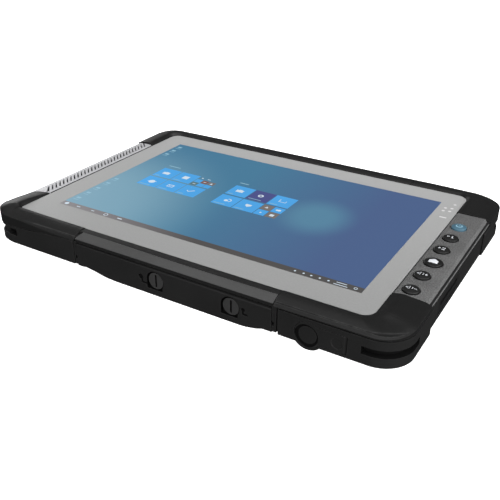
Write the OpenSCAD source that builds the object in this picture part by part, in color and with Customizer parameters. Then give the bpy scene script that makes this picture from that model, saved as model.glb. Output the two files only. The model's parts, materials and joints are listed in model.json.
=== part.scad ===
// Rugged field data collector: a tablet with a grey-bordered touch display, a column of
// domed keys, rubber corner bumpers, a slide-out battery and hinged port covers.
// Frame: +X to the right along the long side, +Y to the back, +Z up out of the display.
// Origin: centre of the footprint, on the plane the tablet lies on.

/* [Overall] */
// Length along X, over the bumpers
overall_l = 285; // [284:0.5:288]
// Depth along Y, over the bumpers
overall_d = 194; // [193.5:0.5:197]
// Plan corner radius of the bumpers
bumper_r = 18; // [16:0.5:19]
// Height of the top of the glass above the floor
glass_top = 23.4; // [23.2:0.1:24.5]
// Height of the underside of the case above the floor
floor_z = 3.8; // [3.6:0.1:4]
// Height of the joint between the lower and the upper case
split_z = 19.6; // [19.4:0.1:19.8]

/* [Display] */
// Width of the lit area
display_w = 217; // [210:0.5:219]
// Height of the lit area
display_h = 135.6; // [130:0.1:138]
// Width of the glass
glass_w = 247.7; // [247:0.1:248.6]
// Height of the glass
glass_h = 171.7; // [171:0.1:172.8]
// Plan corner radius of the glass
glass_r = 7; // [5:0.5:9]

/* [Keys] */
// Diameter of a standard key
key_d = 9.8; // [9:0.1:10.4]
// Distance between key centres
key_pitch = 17.25; // [16.8:0.05:17.4]
// Travel of a key
key_travel = 0.6; // [0.4:0.1:0.7]

/* [Battery] */
// Distance from a latch axis to the tip of its tongue
tongue_l = 10.3; // [9.8:0.1:10.4]
// Width of the battery door
door_w = 137.4; // [136.4:0.2:137.6]

/* [Hidden] */

// Clearance round a piece that comes out, and round a piece that stays in
gap = 0.3;
fit = 0.15;
eps = 0.01;
// Further than any outline, for cuts
far = 400;
round_fn = 64;

// Case shells
x_max = overall_l / 2;
y_max = overall_d / 2;
body_x = 141.4;
body_y = 95.4;
body_r = 16.6;
inner_x = 134.4;
inner_y = 88.9;
inner_r = 10;
floor_t = 2;
floor_top = floor_z + floor_t;
case_top = glass_top - 1.4;
outer_box = [-x_max, x_max, -y_max, y_max];
body_box = [-body_x, body_x, -body_y, body_y];
inner_box = [-inner_x, inner_x, -inner_y, inner_y];

// Glass and display
glass_t = 1.8;
gasket_t = 0.5;
glass_under = glass_top - glass_t;
ledge_z = glass_under - gasket_t;
glass_x0 = -127.45;
glass_y0 = -85.6;
glass_box = [glass_x0, glass_x0 + glass_w, glass_y0, glass_y0 + glass_h];
display_x = -1.75;
display_y = 0.8;
lit_box = [display_x - display_w / 2, display_x + display_w / 2,
           display_y - display_h / 2, display_y + display_h / 2];
panel_side = 4.6;
panel_end = 7.2;
lcd_box = [lit_box[0] - panel_side, lit_box[1] + panel_side,
           lit_box[2] - panel_end, lit_box[3] + panel_end];
window_box = grown(lcd_box, 0.8);
lcd_under = 17.6;
lcd_top = glass_top - 2.6;
chassis_z = 15;
chassis_t = 1.8;

// Ends of the bumpers along the rim
rim_left = -69.4;
rim_right = 70.9;
rim_joint = 0.5;
trim_end = 0.5;
grille_y0 = -57;
grille_y1 = 54.4;
panel_y0 = -57.5;
panel_y1 = 57;
block_x = 70.4;
block_right_x = 73.8;
block_front_y = -55;
block_back_y = 46;
block_t = 6;
block_bottom = 3.2;
block_top = split_z - gap;
skirt_z = split_z + 0.1;

// Keys, from the back to the front; the home key is larger
key_x = 128.2;
key_y0 = 35.6;
key_count = 6;
home = 3;
home_shift = 0.7;
home_extra = 0.6;
panel_x0 = 121.1;
panel_top = glass_top + 0.4;
key_dome = 1.3;
key_slip = 0.25;
key_flange = 0.7;
key_board_z = 18;
key_board_t = 1.2;
key_switch_h = 1.2;
pocket_x0 = 122.4;
pocket_x1 = 138;
pocket_end = 0.6;

// Battery and latches
door_x0 = -67.7;
door_x1 = door_x0 + door_w;
door_top = 17.8;
door_back = -93.4;
pack_top = 14.2;
pack_y1 = -8;
bay_x0 = door_x0 - gap;
bay_x1 = door_x1 + gap;
bay_y1 = -6.8;
bay_wall = 2;
rail_z0 = 7.6;
rail_z1 = 9.8;
rail_out = 1.1;
seal_y0 = -89.6;
seal_y1 = -88.4;
seal_z0 = 5;
contact_count = 6;
latch_z = 10.5;
latch_left_x = -6.75;
latch_right_x = 44.45;
latch_places = [latch_left_x, latch_right_x];
latch_bore_r = 2.05;
latch_shaft_r = 2;
latch_sweep_r = tongue_l + 0.5;
tongue_y0 = -93.1;
tongue_y1 = -91.2;
tongue_h = 4.8;
latch_pocket_y = -90.8;
knob_r = 5.2;
knob_recess_r = 6.1;
knob_front = -96.7;
knob_back = -94.9;
slit_w = 1.2;
slit_l = 8;
slit_back = -95.7;

// Port cover at the front and cover at the right side
jack_x = 91.25;
jack_z = 9.3;
jack_boss_r = 9.2;
jack_r = 5.5;
jack_back = -74;
audio_x = 106;
audio_z = 10;
audio_r = 3;
audio_back = -76;
block_inner = -y_max + block_t;
cover_end_r = 7.6;
cover_z0 = 5;
cover_z1 = 15.6;
cover_axis_x = 111.4;
cover_axis_y = -95.3;
cover_back = -93.7;
barrel_r = 1.6;
hinge_pin_r = 0.5;
hinge_bore_r = 0.55;
pin_reach = 1.5;
pin_z0 = 3.7;
pin_z1 = 16.9;
side_axis_x = 139.8;
side_axis_z = 8.5;
side_y0 = -41;
side_y1 = -4;
side_top = 16.6;
side_inner = 138.2;
socket_y0 = -34.8;
socket_y1 = -10.2;
socket_z0 = 7.6;
socket_z1 = 15;

// ---- Outlines ----------------------------------------------------------------------

function mix(a, b, f) = a + (b - a) * f;

// A point on a rounded rectangle. t counts sides and corners from the front left:
// 0-1 front side, 1-2 front right corner, 2-3 right side, and so on round to 8.
function outline_pt(box, r, t) =
    let (k = floor(t) % 8, f = t - floor(t),
         x0 = box[0] + r, x1 = box[1] - r, y0 = box[2] + r, y1 = box[3] - r)
    k == 0 ? [mix(x0, x1, f), box[2]] :
    k == 1 ? [x1 + r * cos(90 * f - 90), y0 + r * sin(90 * f - 90)] :
    k == 2 ? [box[1], mix(y0, y1, f)] :
    k == 3 ? [x1 + r * cos(90 * f), y1 + r * sin(90 * f)] :
    k == 4 ? [mix(x1, x0, f), box[3]] :
    k == 5 ? [x0 + r * cos(90 * f + 90), y1 + r * sin(90 * f + 90)] :
    k == 6 ? [box[0], mix(y1, y0, f)] :
             [x0 + r * cos(90 * f + 180), y0 + r * sin(90 * f + 180)];

// Beyond this X the glass edge and the outer edge no longer face each other squarely
drift_x = 97;

// The point of the glass edge that faces outline_pt(outer_box, bumper_r, t): the same
// X or Y in the middle of a side, drifting to the glass corner at its ends.
function glass_pt(t) =
    let (k = floor(t) % 8, o = outline_pt(outer_box, bumper_r, t),
         x0 = glass_box[0], x1 = glass_box[1],
         sx = lookup(o[0], [[-x_max + bumper_r, x0 + glass_r], [-drift_x, -drift_x],
                            [drift_x, drift_x], [x_max - bumper_r, x1 - glass_r]]))
    k == 0 ? [sx, glass_box[2]] :
    k == 4 ? [sx, glass_box[3]] :
    outline_pt(glass_box, glass_r, t);

// Rim parameter of a place on the front, back or left side
function t_front(x) = (x + x_max - bumper_r) / (overall_l - 2 * bumper_r);
function t_back(x) = 4 + (x_max - bumper_r - x) / (overall_l - 2 * bumper_r);
function t_left(y) = 6 + (y_max - bumper_r - y) / (overall_d - 2 * bumper_r);
function t_right(y) = 2 + (y + y_max - bumper_r) / (overall_d - 2 * bumper_r);

// How the rim rises round the tablet, by rim parameter: height of the crest over the
// glass, distance of the crest from the glass, height of the outer edge over the glass
// and how square the shoulder is.
function crest_h(t) = lookup(t, [
    [0, 1.9], [0.06, 1], [0.13, 0.6], [0.86, 0.6], [0.95, 1], [1.1, 1.8], [1.5, 2.6],
    [1.95, 2.4], [2.08, 1.2], [2.16, 0.5], [2.84, 0.9], [2.95, 1.6], [3.5, 2.4], [3.95, 2.2],
    [4.12, 1.7], [4.9, 1.7], [5.05, 2.2], [5.5, 3], [5.9, 2.9], [6.05, 2], [6.12, 0.6],
    [6.84, 0.4], [6.94, 2.2], [7.05, 3], [7.5, 3.1], [7.8, 2.8], [8, 1.9], [8.06, 1],
    [8.13, 0.6], [8.3, 0.6]]);
function crest_d(t) = lookup(t, [
    [0, 3.5], [1, 3.5], [1.5, 3.2], [2.1, 2], [2.84, 3.5], [3.5, 3.5], [4.2, 4],
    [4.9, 4], [5.6, 2.4], [6.2, 1.8], [6.8, 1.5], [7.5, 2.5], [8, 3.4], [8.3, 3.5]]);
function edge_h(t) = lookup(t, [
    [0, -1.8], [0.13, -3.3], [0.86, -3.3], [1.1, -1.6], [1.5, 0.4], [2, -0.2],
    [2.16, -1], [2.84, -1], [3.1, -1.2], [3.8, -1.2], [4, -0.6], [4.15, -1.1], [4.85, -1.1], [5.1, -0.2],
    [5.5, 0.6], [6, 0.4], [6.12, -1], [6.84, -1], [7, 0], [7.5, 0.6], [7.9, -0.8],
    [8, -1.8], [8.13, -3.3], [8.3, -3.3]]);
function shoulder(t) = lookup(t, [
    [0, 2], [0.13, 1.5], [0.86, 1.5], [1.5, 1.8], [2.16, 2.6], [2.84, 1.5], [3.5, 1.4],
    [4.2, 2.6], [4.9, 2.6], [5.5, 3.2], [6.2, 3.4], [6.8, 3.4], [7.5, 3.4], [8, 2],
    [8.3, 1.5]]);

// The top of one rim section, as [distance from the glass edge, height over the glass],
// from the glass outwards.
shoulder_steps = 9;
rim_lip = 0.05;
function rim_top(t, w) =
    let (h = crest_h(t), d = crest_d(t), e = edge_h(t), p = 2 / shoulder(t))
    concat([[fit, rim_lip], [d * 0.5, h * 0.75]],
           [for (i = [0:shoulder_steps])
               let (a = 90 * i / shoulder_steps)
               [mix(d, w, pow(sin(a), p)), mix(e, h, pow(cos(a), p))]]);

// One closed rim section: the top, then the skirt outside the case and the underside.
function rim_section(t) =
    let (g = glass_pt(t), o = outline_pt(outer_box, bumper_r, t),
         w = norm(o - g), u = (o - g) / w,
         s = outline_pt(body_box, body_r, t) + fit * u, i = g + fit * u)
    concat([for (q = rim_top(t, w)) let (p = g + u * q[0]) [p[0], p[1], glass_top + q[1]]],
           [[o[0], o[1], skirt_z], [s[0], s[1], skirt_z], [s[0], s[1], case_top + eps],
            [i[0], i[1], case_top + eps]]);

// A piece of rim swept over a list of rim parameters
module rim(stations) {
    rings = [for (t = stations) rim_section(t)];
    n = len(rings[0]);
    last = len(rings) - 1;
    sides = [for (i = [0:last - 1], j = [0:n - 1])
        [i * n + j, (i + 1) * n + j, (i + 1) * n + (j + 1) % n, i * n + (j + 1) % n]];
    caps = [[for (j = [0:n - 1]) j], [for (j = [n - 1:-1:0]) last * n + j]];
    polyhedron(points = [for (ring = rings) each ring], faces = concat(sides, caps));
}

function steps(a, b, n) = [for (i = [0:n]) mix(a, b, i / n)];

module rounded_rect(box, r) {
    translate([box[0] + r, box[2]]) square([box[1] - box[0] - 2 * r, box[3] - box[2]]);
    translate([box[0], box[2] + r]) square([box[1] - box[0], box[3] - box[2] - 2 * r]);
    for (x = [box[0] + r, box[1] - r], y = [box[2] + r, box[3] - r])
        translate([x, y]) circle(r, $fn = round_fn);
}

function grown(box, d) = [box[0] - d, box[1] + d, box[2] - d, box[3] + d];

// A block given by its low and high corners
module span(lo, hi) translate(lo) cube(hi - lo);

// A cylinder along +Y from y0 to y1 at [x, z]
module bar_y(x, z, y0, y1, r) translate([x, y1, z]) rotate([90, 0, 0])
    cylinder(y1 - y0, r = r, $fn = round_fn);

// An upright cylinder at the place p, from z0 to z1
module peg(p, z0, z1, r) translate([p[0], p[1], z0]) cylinder(z1 - z0, r = r, $fn = round_fn);

// An outline in X and Z, extruded along Y from y0 to y1
module extrude_y(y0, y1) translate([0, y1, 0]) rotate([90, 0, 0])
    linear_extrude(y1 - y0) children();

// An outline in Y and Z, extruded along X from x0 to x1
module extrude_x(x0, x1) translate([x0, 0, 0]) rotate([90, 0, 90])
    linear_extrude(x1 - x0) children();

// ---- Case --------------------------------------------------------------------------

// The L-shaped ground of one corner block; side is -1 at the left and 1 at the right
module corner_ground(side, back, extra) {
    x_in = (side > 0 && !back) ? block_right_x : block_x;
    y_in = back ? block_back_y : block_front_y;
    x0 = side < 0 ? -far : x_in - extra;
    x1 = side < 0 ? -x_in + extra : far;
    y0 = back ? y_in - extra : -far;
    y1 = back ? far : y_in + extra;
    translate([x0, y0]) square([x1 - x0, y1 - y0]);
}

module corner_ring(extra) difference() {
    rounded_rect(grown(outer_box, extra), bumper_r + extra);
    rounded_rect(grown(outer_box, -block_t - extra), bumper_r - block_t - extra);
}

module corner_plan(side, back, extra = 0) intersection() {
    corner_ring(extra);
    corner_ground(side, back, extra);
}

// Slot for a strap, round the corner of a block
slot_z = 11.4;
slot_h = 4.6;
slot_depth = 4;
slot_reach_x = 120.5;
slot_reach_y = 74;
module strap_slot(side, back) {
    x0 = side < 0 ? -far : slot_reach_x;
    y0 = back ? slot_reach_y : -far;
    translate([0, 0, slot_z - slot_h / 2]) linear_extrude(slot_h) intersection() {
        difference() {
            rounded_rect(grown(outer_box, 1), bumper_r + 1);
            rounded_rect(grown(outer_box, -slot_depth), bumper_r - slot_depth);
        }
        translate([x0, y0]) square([far - slot_reach_x, far - slot_reach_y]);
    }
}

// Walls of the battery bay, at its left, right and back
module bay_walls() {
    for (x = [bay_x0 - bay_wall, bay_x1])
        span([x, -inner_y - 1, floor_z], [x + bay_wall, bay_y1 + bay_wall, pack_top]);
    span([bay_x0, bay_y1, floor_z], [bay_x1, bay_y1 + bay_wall, pack_top]);
}

// Ribs either side of the battery door
rib_left = 1.8;
rib_right = 2.6;
module door_ribs() {
    span([bay_x0 - rib_left, -y_max + gap, floor_z], [bay_x0, -body_y + 1, block_top]);
    span([bay_x1, -y_max + gap, floor_z], [bay_x1 + rib_right, -body_y + 1, block_top]);
}

// Pockets of the two jacks, with a space for their wires above
module jack_pockets() {
    bar_y(jack_x, jack_z, -far, -73.5, jack_r + 0.8);
    bar_y(audio_x, audio_z, -far, -73.5, audio_r + 1);
    span([jack_x - jack_boss_r, -92, 14.2], [jack_x + jack_boss_r, -71, far]);
}

// Recess of the right side cover, with the hole of its pin and the window behind it
module side_recess() {
    span([side_inner - gap, side_y0 - gap, side_axis_z - barrel_r - gap],
         [far, side_y1 + gap, side_top + gap]);
    bar_y(side_axis_x, side_axis_z, side_y0 - pin_reach - 0.1, side_y1 + pin_reach + 0.1, hinge_pin_r);
    span([inner_x - 1, socket_y0 - 0.2, socket_z0 - 0.2], [side_inner, socket_y1 + 0.2, socket_z1 + 0.6]);
}

module rear_case() color([0.13, 0.13, 0.13]) {
    difference() {
        union() {
            difference() {
                translate([0, 0, floor_z]) linear_extrude(split_z - floor_z)
                    rounded_rect(body_box, body_r);
                translate([0, 0, floor_top]) linear_extrude(far) rounded_rect(inner_box, inner_r);
            }
            bay_walls();
            door_ribs();
            bar_y(jack_x, jack_z, -90.8, -72, jack_boss_r);
            for (p = post_places()) peg(p, floor_z, split_z, post_r);
        }
        // battery opening
        span([bay_x0, -far, -1], [bay_x1, bay_y1, pack_top + eps]);
        span([bay_x0, -far, -1], [bay_x1, -inner_y, far]);
        rail_grooves();
        for (side = [-1, 1], back = [false, true])
            translate([0, 0, -1]) linear_extrude(far) corner_plan(side, back, 0.1);
        jack_pockets();
        side_recess();
        // underside: camera, dock connector, service hatch, screws, mounts and feet
        peg([camera_x, camera_y], 0, camera_top, camera_r + fit);
        span([dock_x0, dock_y0, 0], [dock_x1, dock_y1, floor_top + 1]);
        hatch_opening();
        for (p = post_places()) {
            peg(p, 0, screw_seat, screw_head_r + 0.25);
            peg(p, 0, far, screw_bore_r);
        }
        for (p = mount_places()) peg(p, 0, mount_top, mount_r);
        for (s = [-1, 1]) translate([s * foot_x, foot_y, 0])
            linear_extrude(foot_seat) offset_foot(fit);
    }
    // closed ends of the threaded mounts
    for (p = mount_places()) difference() {
        peg(p, floor_top, mount_top + 1.1, mount_wall_r);
        peg(p, 0, mount_top, mount_r);
    }
}

// Grooves in the bay walls for the side rails of the pack
module rail_grooves() for (x = [bay_x0 - rail_out - 0.1, bay_x1 - 1])
    span([x, -far, rail_z0 - gap], [x + rail_out + 1.1, pack_y1 + gap, rail_z1 + gap]);

// Screw posts round the case, clear of the battery, the display and the keys
post_side_x = 128;
post_end_y = 84;
function post_places() = concat(
    [for (y = [62, 0, -64]) [-post_side_x, y]], [for (y = [62, -64]) [post_side_x, y]],
    [for (x = [-40, 60]) [x, post_end_y]], [for (x = [-80, 78]) [x, -post_end_y]]);
post_r = 4;
screw_seat = floor_z + 2.2;
screw_head_r = 2.8;
screw_bore_r = 1.65;

// Threaded mounts on the underside
mount_r = 1.65;
mount_wall_r = 4;
mount_top = 9.3;
mount_dx = 100;
mount_dy = 50;
mount_cy = 30;
function mount_places() = [for (sx = [-1, 1], sy = [-1, 1])
    [sx * mount_dx / 2, mount_cy + sy * mount_dy / 2]];

camera_x = -104;
camera_y = 56;
camera_r = 5.9;
camera_top = 20;
dock_x0 = -26;
dock_x1 = 26;
dock_y0 = 68;
dock_y1 = 78;
foot_x = 95;
foot_y = 80;
foot_w = 26;
foot_r = 3.5;
foot_seat = floor_z + 0.8;
module offset_foot(extra) {
    square([foot_w, 2 * (foot_r + extra)], center = true);
    for (s = [-1, 1]) translate([s * foot_w / 2, 0]) circle(foot_r + extra, $fn = round_fn);
}

// Pockets in the upper case
speaker_places = [-36, 34];
speaker_x0 = -138.2;
speaker_x1 = -129.6;
speaker_l = 34;
guide_x0 = 113.2;
guide_x1 = 119.2;
guide_y0 = 52;
guide_y1 = 71;
front_camera_y = 81.4;
front_camera_r = 3.8;
header_z = door_top + 0.5;
header_y = -86;
pocket_z = split_z - 1;

module front_case() color([0.12, 0.12, 0.12]) {
    difference() {
        union() {
            difference() {
                translate([0, 0, split_z]) linear_extrude(case_top - split_z)
                    rounded_rect(body_box, body_r);
                span([window_box[0], window_box[2], 0], [window_box[1], window_box[3], far]);
                translate([0, 0, ledge_z]) linear_extrude(far)
                    rounded_rect(grown(glass_box, fit), glass_r + fit);
            }
            // header over the battery door, and the rail between the glass and the trim
            span([bay_x0 + fit, -body_y, header_z], [bay_x1 - fit, header_y, split_z + 0.5]);
            extrude_x(rim_left + trim_end, rim_right - trim_end) polygon(rail_profile());
        }
        for (x = latch_places) bar_y(x, latch_z, door_back, latch_pocket_y, latch_sweep_r);
        span([pocket_x0, panel_y0 + pocket_end, pocket_z], [pocket_x1, panel_y1 - pocket_end, far]);
        for (y = speaker_places)
            span([speaker_x0 - 0.2, y - speaker_l / 2 - 1, pocket_z],
                 [speaker_x1 + 0.2, y + speaker_l / 2 + 1, far]);
        span([guide_x0, guide_y0, pocket_z], [guide_x1, guide_y1, far]);
        peg([0, front_camera_y], pocket_z, far, front_camera_r + gap);
        for (p = post_places()) peg(p, pocket_z, ledge_z - 0.1, screw_thread_r);
    }
}
screw_thread_r = 1.25;

// Section of the rail, in Y and Z
rail_back = glass_box[2] - fit;
rail_front = -91.1;
function rail_profile() = [
    [rail_back, case_top - 0.5], [rail_front, case_top - 0.5],
    [rail_front, glass_top + 0.45], [rail_front + 1.1, glass_top + 0.6],
    [rail_front + 3.1, glass_top + 0.5], [rail_back - 0.45, glass_top + 0.2],
    [rail_back, glass_top]];

// Chassis plate between the display and the boards, with stiffening ribs under it
chassis_y0 = -85.5;
rib_t = 1.6;
rib_h = 1.4;
chassis_rib_y = 40;
module mid_frame() color([0.55, 0.56, 0.58]) difference() {
    union() {
        translate([0, 0, chassis_z]) linear_extrude(chassis_t)
            rounded_rect([-inner_x + gap, inner_x - gap, chassis_y0, inner_y - gap], inner_r);
        for (x = [-90:30:90])
            span([x - rib_t / 2, 0, chassis_z - rib_h], [x + rib_t / 2, post_end_y, chassis_z + eps]);
        span([lcd_box[0], chassis_rib_y, chassis_z - rib_h],
             [lcd_box[1], chassis_rib_y + rib_t, chassis_z + eps]);
    }
    for (p = post_places()) peg(p, 0, far, post_r + gap);
    // clear of the keys, the speakers, the front camera and the jack housing
    span([121.5, panel_y0, 0], [far, panel_y1, far]);
    span([-far, grille_y0, 0], [speaker_x1 + 3, grille_y1 - 4, far]);
    peg([0, front_camera_y], 0, far, front_camera_r + 0.8);
    bar_y(jack_x, jack_z, -far, -71, jack_boss_r + gap);
}

// ---- Display -----------------------------------------------------------------------

module touch_glass() color([0.66, 0.67, 0.66])
    translate([0, 0, glass_under]) linear_extrude(glass_t) rounded_rect(glass_box, glass_r);

module display_gasket() color([0.1, 0.1, 0.1]) difference() {
    translate([0, 0, ledge_z]) linear_extrude(gasket_t)
        rounded_rect(grown(glass_box, -gap), glass_r - gap);
    span([window_box[0], window_box[2], 0], [window_box[1], window_box[3], far]);
    span([guide_x0, guide_y0, 0], [guide_x1, guide_y1, far]);
    peg([0, front_camera_y], 0, far, front_camera_r + gap);
}

module lcd_panel() color([0.24, 0.4, 0.6]) {
    span([lcd_box[0], lcd_box[2], lcd_under], [lcd_box[1], lcd_box[3], lcd_top]);
    span([lit_box[0], lit_box[2], lcd_top - eps], [lit_box[1], lit_box[3], glass_under]);
}

// ---- Rubber bumpers, rails and corner blocks ---------------------------------------

rubber = [0.11, 0.11, 0.11];

// A corner bumper: a straight stretch, the corner and another straight stretch
module bumper(t0, corner, t1) color(rubber)
    rim(concat(steps(t0, corner, 4), steps(corner + 0.1, corner + 0.9, 8), steps(corner + 1, t1, 4)));

module bumper_front_left() bumper(t_left(grille_y0 - rim_joint), 7, 8 + t_front(rim_left));
module bumper_front_right() bumper(t_front(rim_right), 1, t_right(panel_y0 - rim_joint));
module bumper_back_right() bumper(t_right(panel_y1 + rim_joint), 3, t_back(rim_right));
module bumper_back_left() bumper(t_back(rim_left), 5, t_left(grille_y1 + rim_joint));
module back_rail() color(rubber)
    rim(steps(t_back(rim_right - rim_joint), t_back(rim_left + rim_joint), 5));

// Lighter strip on the front shoulder: one flat slope with a short lip under it
trim_under = 21.3;
trim_lip = 0.4;
trim_edge = 0.6;
module front_trim() color([0.3, 0.3, 0.3]) {
    trim_back = rail_front - 0.1;
    extrude_x(rim_left + trim_end, rim_right - trim_end) polygon([
        [trim_back, case_top + eps], [trim_back, glass_top + 0.4],
        [trim_back - trim_edge, glass_top + 0.5], [-y_max + trim_edge, trim_under + 2 * trim_lip],
        [-y_max, trim_under + trim_lip], [-y_max, trim_under], [-body_y - fit, trim_under],
        [-body_y - fit, case_top + eps]]);
}

module corner_block(side, back) difference() {
    translate([0, 0, block_bottom]) linear_extrude(block_top - block_bottom)
        corner_plan(side, back);
    strap_slot(side, back);
}

module block_front_left() color(rubber) corner_block(-1, false);
module block_back_left() color(rubber) corner_block(-1, true);
module block_back_right() color(rubber) corner_block(1, true);

module cover_outline(extra) {
    translate([jack_x, jack_z]) circle(cover_end_r + extra, $fn = round_fn);
    translate([jack_x, cover_z0 - extra])
        square([cover_axis_x - jack_x, cover_z1 - cover_z0 + 2 * extra]);
}

// The front right block also holds the port cover, its hinge pin and the jacks
module block_front_right() color(rubber) difference() {
    union() {
        corner_block(1, false);
        bar_y(jack_x, jack_z, -y_max, block_inner, jack_boss_r);
    }
    extrude_y(-far, door_back) cover_outline(gap);
    span([cover_axis_x - 1, -far, cover_z0 - gap],
         [cover_axis_x + barrel_r + gap, door_back, cover_z1 + gap]);
    peg([cover_axis_x, cover_axis_y], pin_z0 - 0.1, pin_z1 + 0.1, hinge_pin_r);
    bar_y(jack_x, jack_z, -far, block_inner + 1, jack_r + 0.1);
    bar_y(audio_x, audio_z, -far, block_inner + 1, audio_r + 0.1);
}

// ---- Grille and speakers -----------------------------------------------------------

slot_pitch = 3.62;
slot_count = 30;
slot_l = 9.4;
slot_w = 0.9;
slot_angle = -45;
slot_x = -133.8;
slot_first = 3.6;
grille_x = -142.3;
grille_inner = glass_x0 - 1.2;
grille_wall = 0.8;
module speaker_grille() color([0.8, 0.8, 0.82]) difference() {
    extrude_y(grille_y0, grille_y1) polygon([
        [grille_inner, case_top + eps], [grille_inner, glass_top + 0.2],
        [grille_inner - 0.6, glass_top + 0.45], [-137, glass_top + 0.5], [-140, glass_top + 0.1],
        [-141.7, glass_top - 0.9], [grille_x, glass_top - 2.2], [grille_x, split_z + 0.2],
        [grille_x + grille_wall, split_z + 0.2], [grille_x + grille_wall, case_top + eps]]);
    for (i = [0:slot_count - 1])
        translate([slot_x, grille_y0 + slot_first + i * slot_pitch, case_top])
            rotate(slot_angle) cube([slot_l, slot_w, 8], center = true);
}

module speaker(y) color([0.2, 0.2, 0.22]) difference() {
    span([speaker_x0, y - speaker_l / 2, split_z + 0.4],
         [speaker_x1, y + speaker_l / 2, case_top - 0.2]);
    span([speaker_x0 + 1, y - speaker_l / 2 + 1.5, split_z + 1.4],
         [speaker_x1 - 1, y + speaker_l / 2 - 1.5, far]);
}
module speaker_front() speaker(speaker_places[0]);
module speaker_back() speaker(speaker_places[1]);

// ---- Keys --------------------------------------------------------------------------

function key_place(i) = [key_x + (i == home ? home_shift : 0), key_y0 - i * key_pitch];
function key_radius(i) = key_d / 2 + (i == home ? home_extra : 0);

module key_panel() color([0.42, 0.42, 0.42]) difference() {
    extrude_y(panel_y0, panel_y1) polygon([
        [panel_x0, case_top + eps], [panel_x0, panel_top - 0.3], [panel_x0 + 0.5, panel_top],
        [139, panel_top], [140.6, panel_top - 0.4], [141.9, panel_top - 1.6],
        [141.9, case_top - 1.2], [body_x + 0.1, case_top - 1.2], [body_x + 0.1, case_top + eps]]);
    for (i = [0:key_count - 1]) {
        peg(key_place(i), 0, far, key_radius(i) + key_slip);
        peg(key_place(i), 0, case_top + 0.7, key_radius(i) + key_flange + 0.4);
    }
}

// A domed cap with a flange that keeps it under the panel and a foot over its switch
module key(i) {
    r = key_radius(i);
    top = panel_top + key_dome;
    sag = 0.5;
    dome_r = (r * r + sag * sag) / (2 * sag);
    p = key_place(i);
    intersection() {
        peg(p, case_top, top, r);
        translate([p[0], p[1], top - dome_r]) sphere(dome_r, $fn = 96);
    }
    peg(p, case_top - 0.4, case_top + 0.5, r + key_flange);
    peg(p, key_board_z + key_switch_h + key_travel + 0.3, case_top, 1.6);
}
key_tint = [0.16, 0.16, 0.16];
module key_power() color([0.3, 0.5, 0.62]) key(0);
module key_user_one() color(key_tint) key(1);
module key_user_two() color(key_tint) key(2);
module key_home() color(key_tint) key(home);
module key_volume_up() color(key_tint) key(4);
module key_volume_down() color(key_tint) key(5);

module key_board() color([0.1, 0.35, 0.2]) {
    span([pocket_x0 + 0.4, panel_y0 + 1, key_board_z - key_board_t],
         [133.9, key_y0 + key_pitch / 2, key_board_z]);
    for (i = [0:key_count - 1]) peg(key_place(i), key_board_z - eps, key_board_z + key_switch_h, 3);
}

// ---- Electronics -------------------------------------------------------------------

// Boards stand clear of the battery bay and under the chassis ribs
board_z = 9.4;
board_t = 1.4;
board_y0 = 2;
chip_h = 1.1;
// Chips as [X, Y, length, width]
chips = [[-30, 20, 34, 26], [20, 20, 20, 20], [50, 44, 26, 16], [-56, 46, 18, 18]];
module main_board() color([0.08, 0.33, 0.2]) {
    top = board_z + board_t;
    difference() {
        union() {
            span([-70, board_y0, board_z], [118, 74, top]);
            for (c = chips) span([c[0], c[1], top - eps], [c[0] + c[2], c[1] + c[3], top + chip_h]);
            span([60, board_y0, top - eps], [110, board_y0 + 6, top + 2 * chip_h]);
        }
        for (p = mount_places()) peg(p, 0, far, mount_wall_r + 0.4);
    }
}

spreader_z = board_z + board_t + chip_h;
module heat_spreader() color([0.75, 0.45, 0.3])
    span([-36, 14, spreader_z], [46, chassis_rib_y - 1.2, spreader_z + 1.3]);

storage_z = 6.6;
storage_x = [-122, -92];
module storage_module() color([0.2, 0.25, 0.22]) {
    span([storage_x[0], -66, storage_z], [storage_x[1], -8, storage_z + board_t]);
    for (y = [-60, -36]) span([storage_x[0] + 2, y, storage_z + board_t - eps],
                              [storage_x[1] - 2, y + 20, storage_z + board_t + 1.6]);
}

// A slotted metal strip along the back wall
antenna_y = 86;
antenna_z = [10, 14];
antenna_x0 = -30;
antenna_pitch = 20;
antenna_count = 4;
module antenna_strip() color([0.7, 0.6, 0.3]) difference() {
    span([antenna_x0, antenna_y, antenna_z[0]],
         [antenna_x0 + antenna_count * antenna_pitch, antenna_y + 1.2, antenna_z[1]]);
    for (i = [0:antenna_count - 1]) let (x = antenna_x0 + 4 + i * antenna_pitch)
        span([x, antenna_y - 1, antenna_z[0] + 1.4], [x + 12, antenna_y + 2, antenna_z[1] - 1.4]);
}

module light_guide() color([0.85, 0.87, 0.9])
    span([guide_x0 + 0.2, guide_y0 + 0.2, split_z + 0.2],
         [guide_x1 - 0.2, guide_y1 - 0.2, glass_under - 0.1]);

module front_camera() color([0.1, 0.1, 0.12])
    peg([0, front_camera_y], lcd_under - 0.2, glass_under - 0.1, front_camera_r);

// ---- Underside ---------------------------------------------------------------------

window_r = 4.6;
window_t = 0.7;
bezel_under = floor_z - 0.6;
module rear_camera() color([0.1, 0.1, 0.1]) difference() {
    p = [camera_x, camera_y];
    union() {
        peg(p, bezel_under, floor_z, camera_r + 1.6);
        peg(p, bezel_under, floor_top + 1, camera_r);
        peg(p, floor_top + eps, floor_top + 3.6, camera_r + 1.1);
    }
    peg(p, 0, floor_z + 0.4, window_r);
}
module camera_window() color([0.2, 0.22, 0.3])
    peg([camera_x, camera_y], floor_z + 0.4 - window_t, floor_z + 0.4, window_r);

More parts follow.
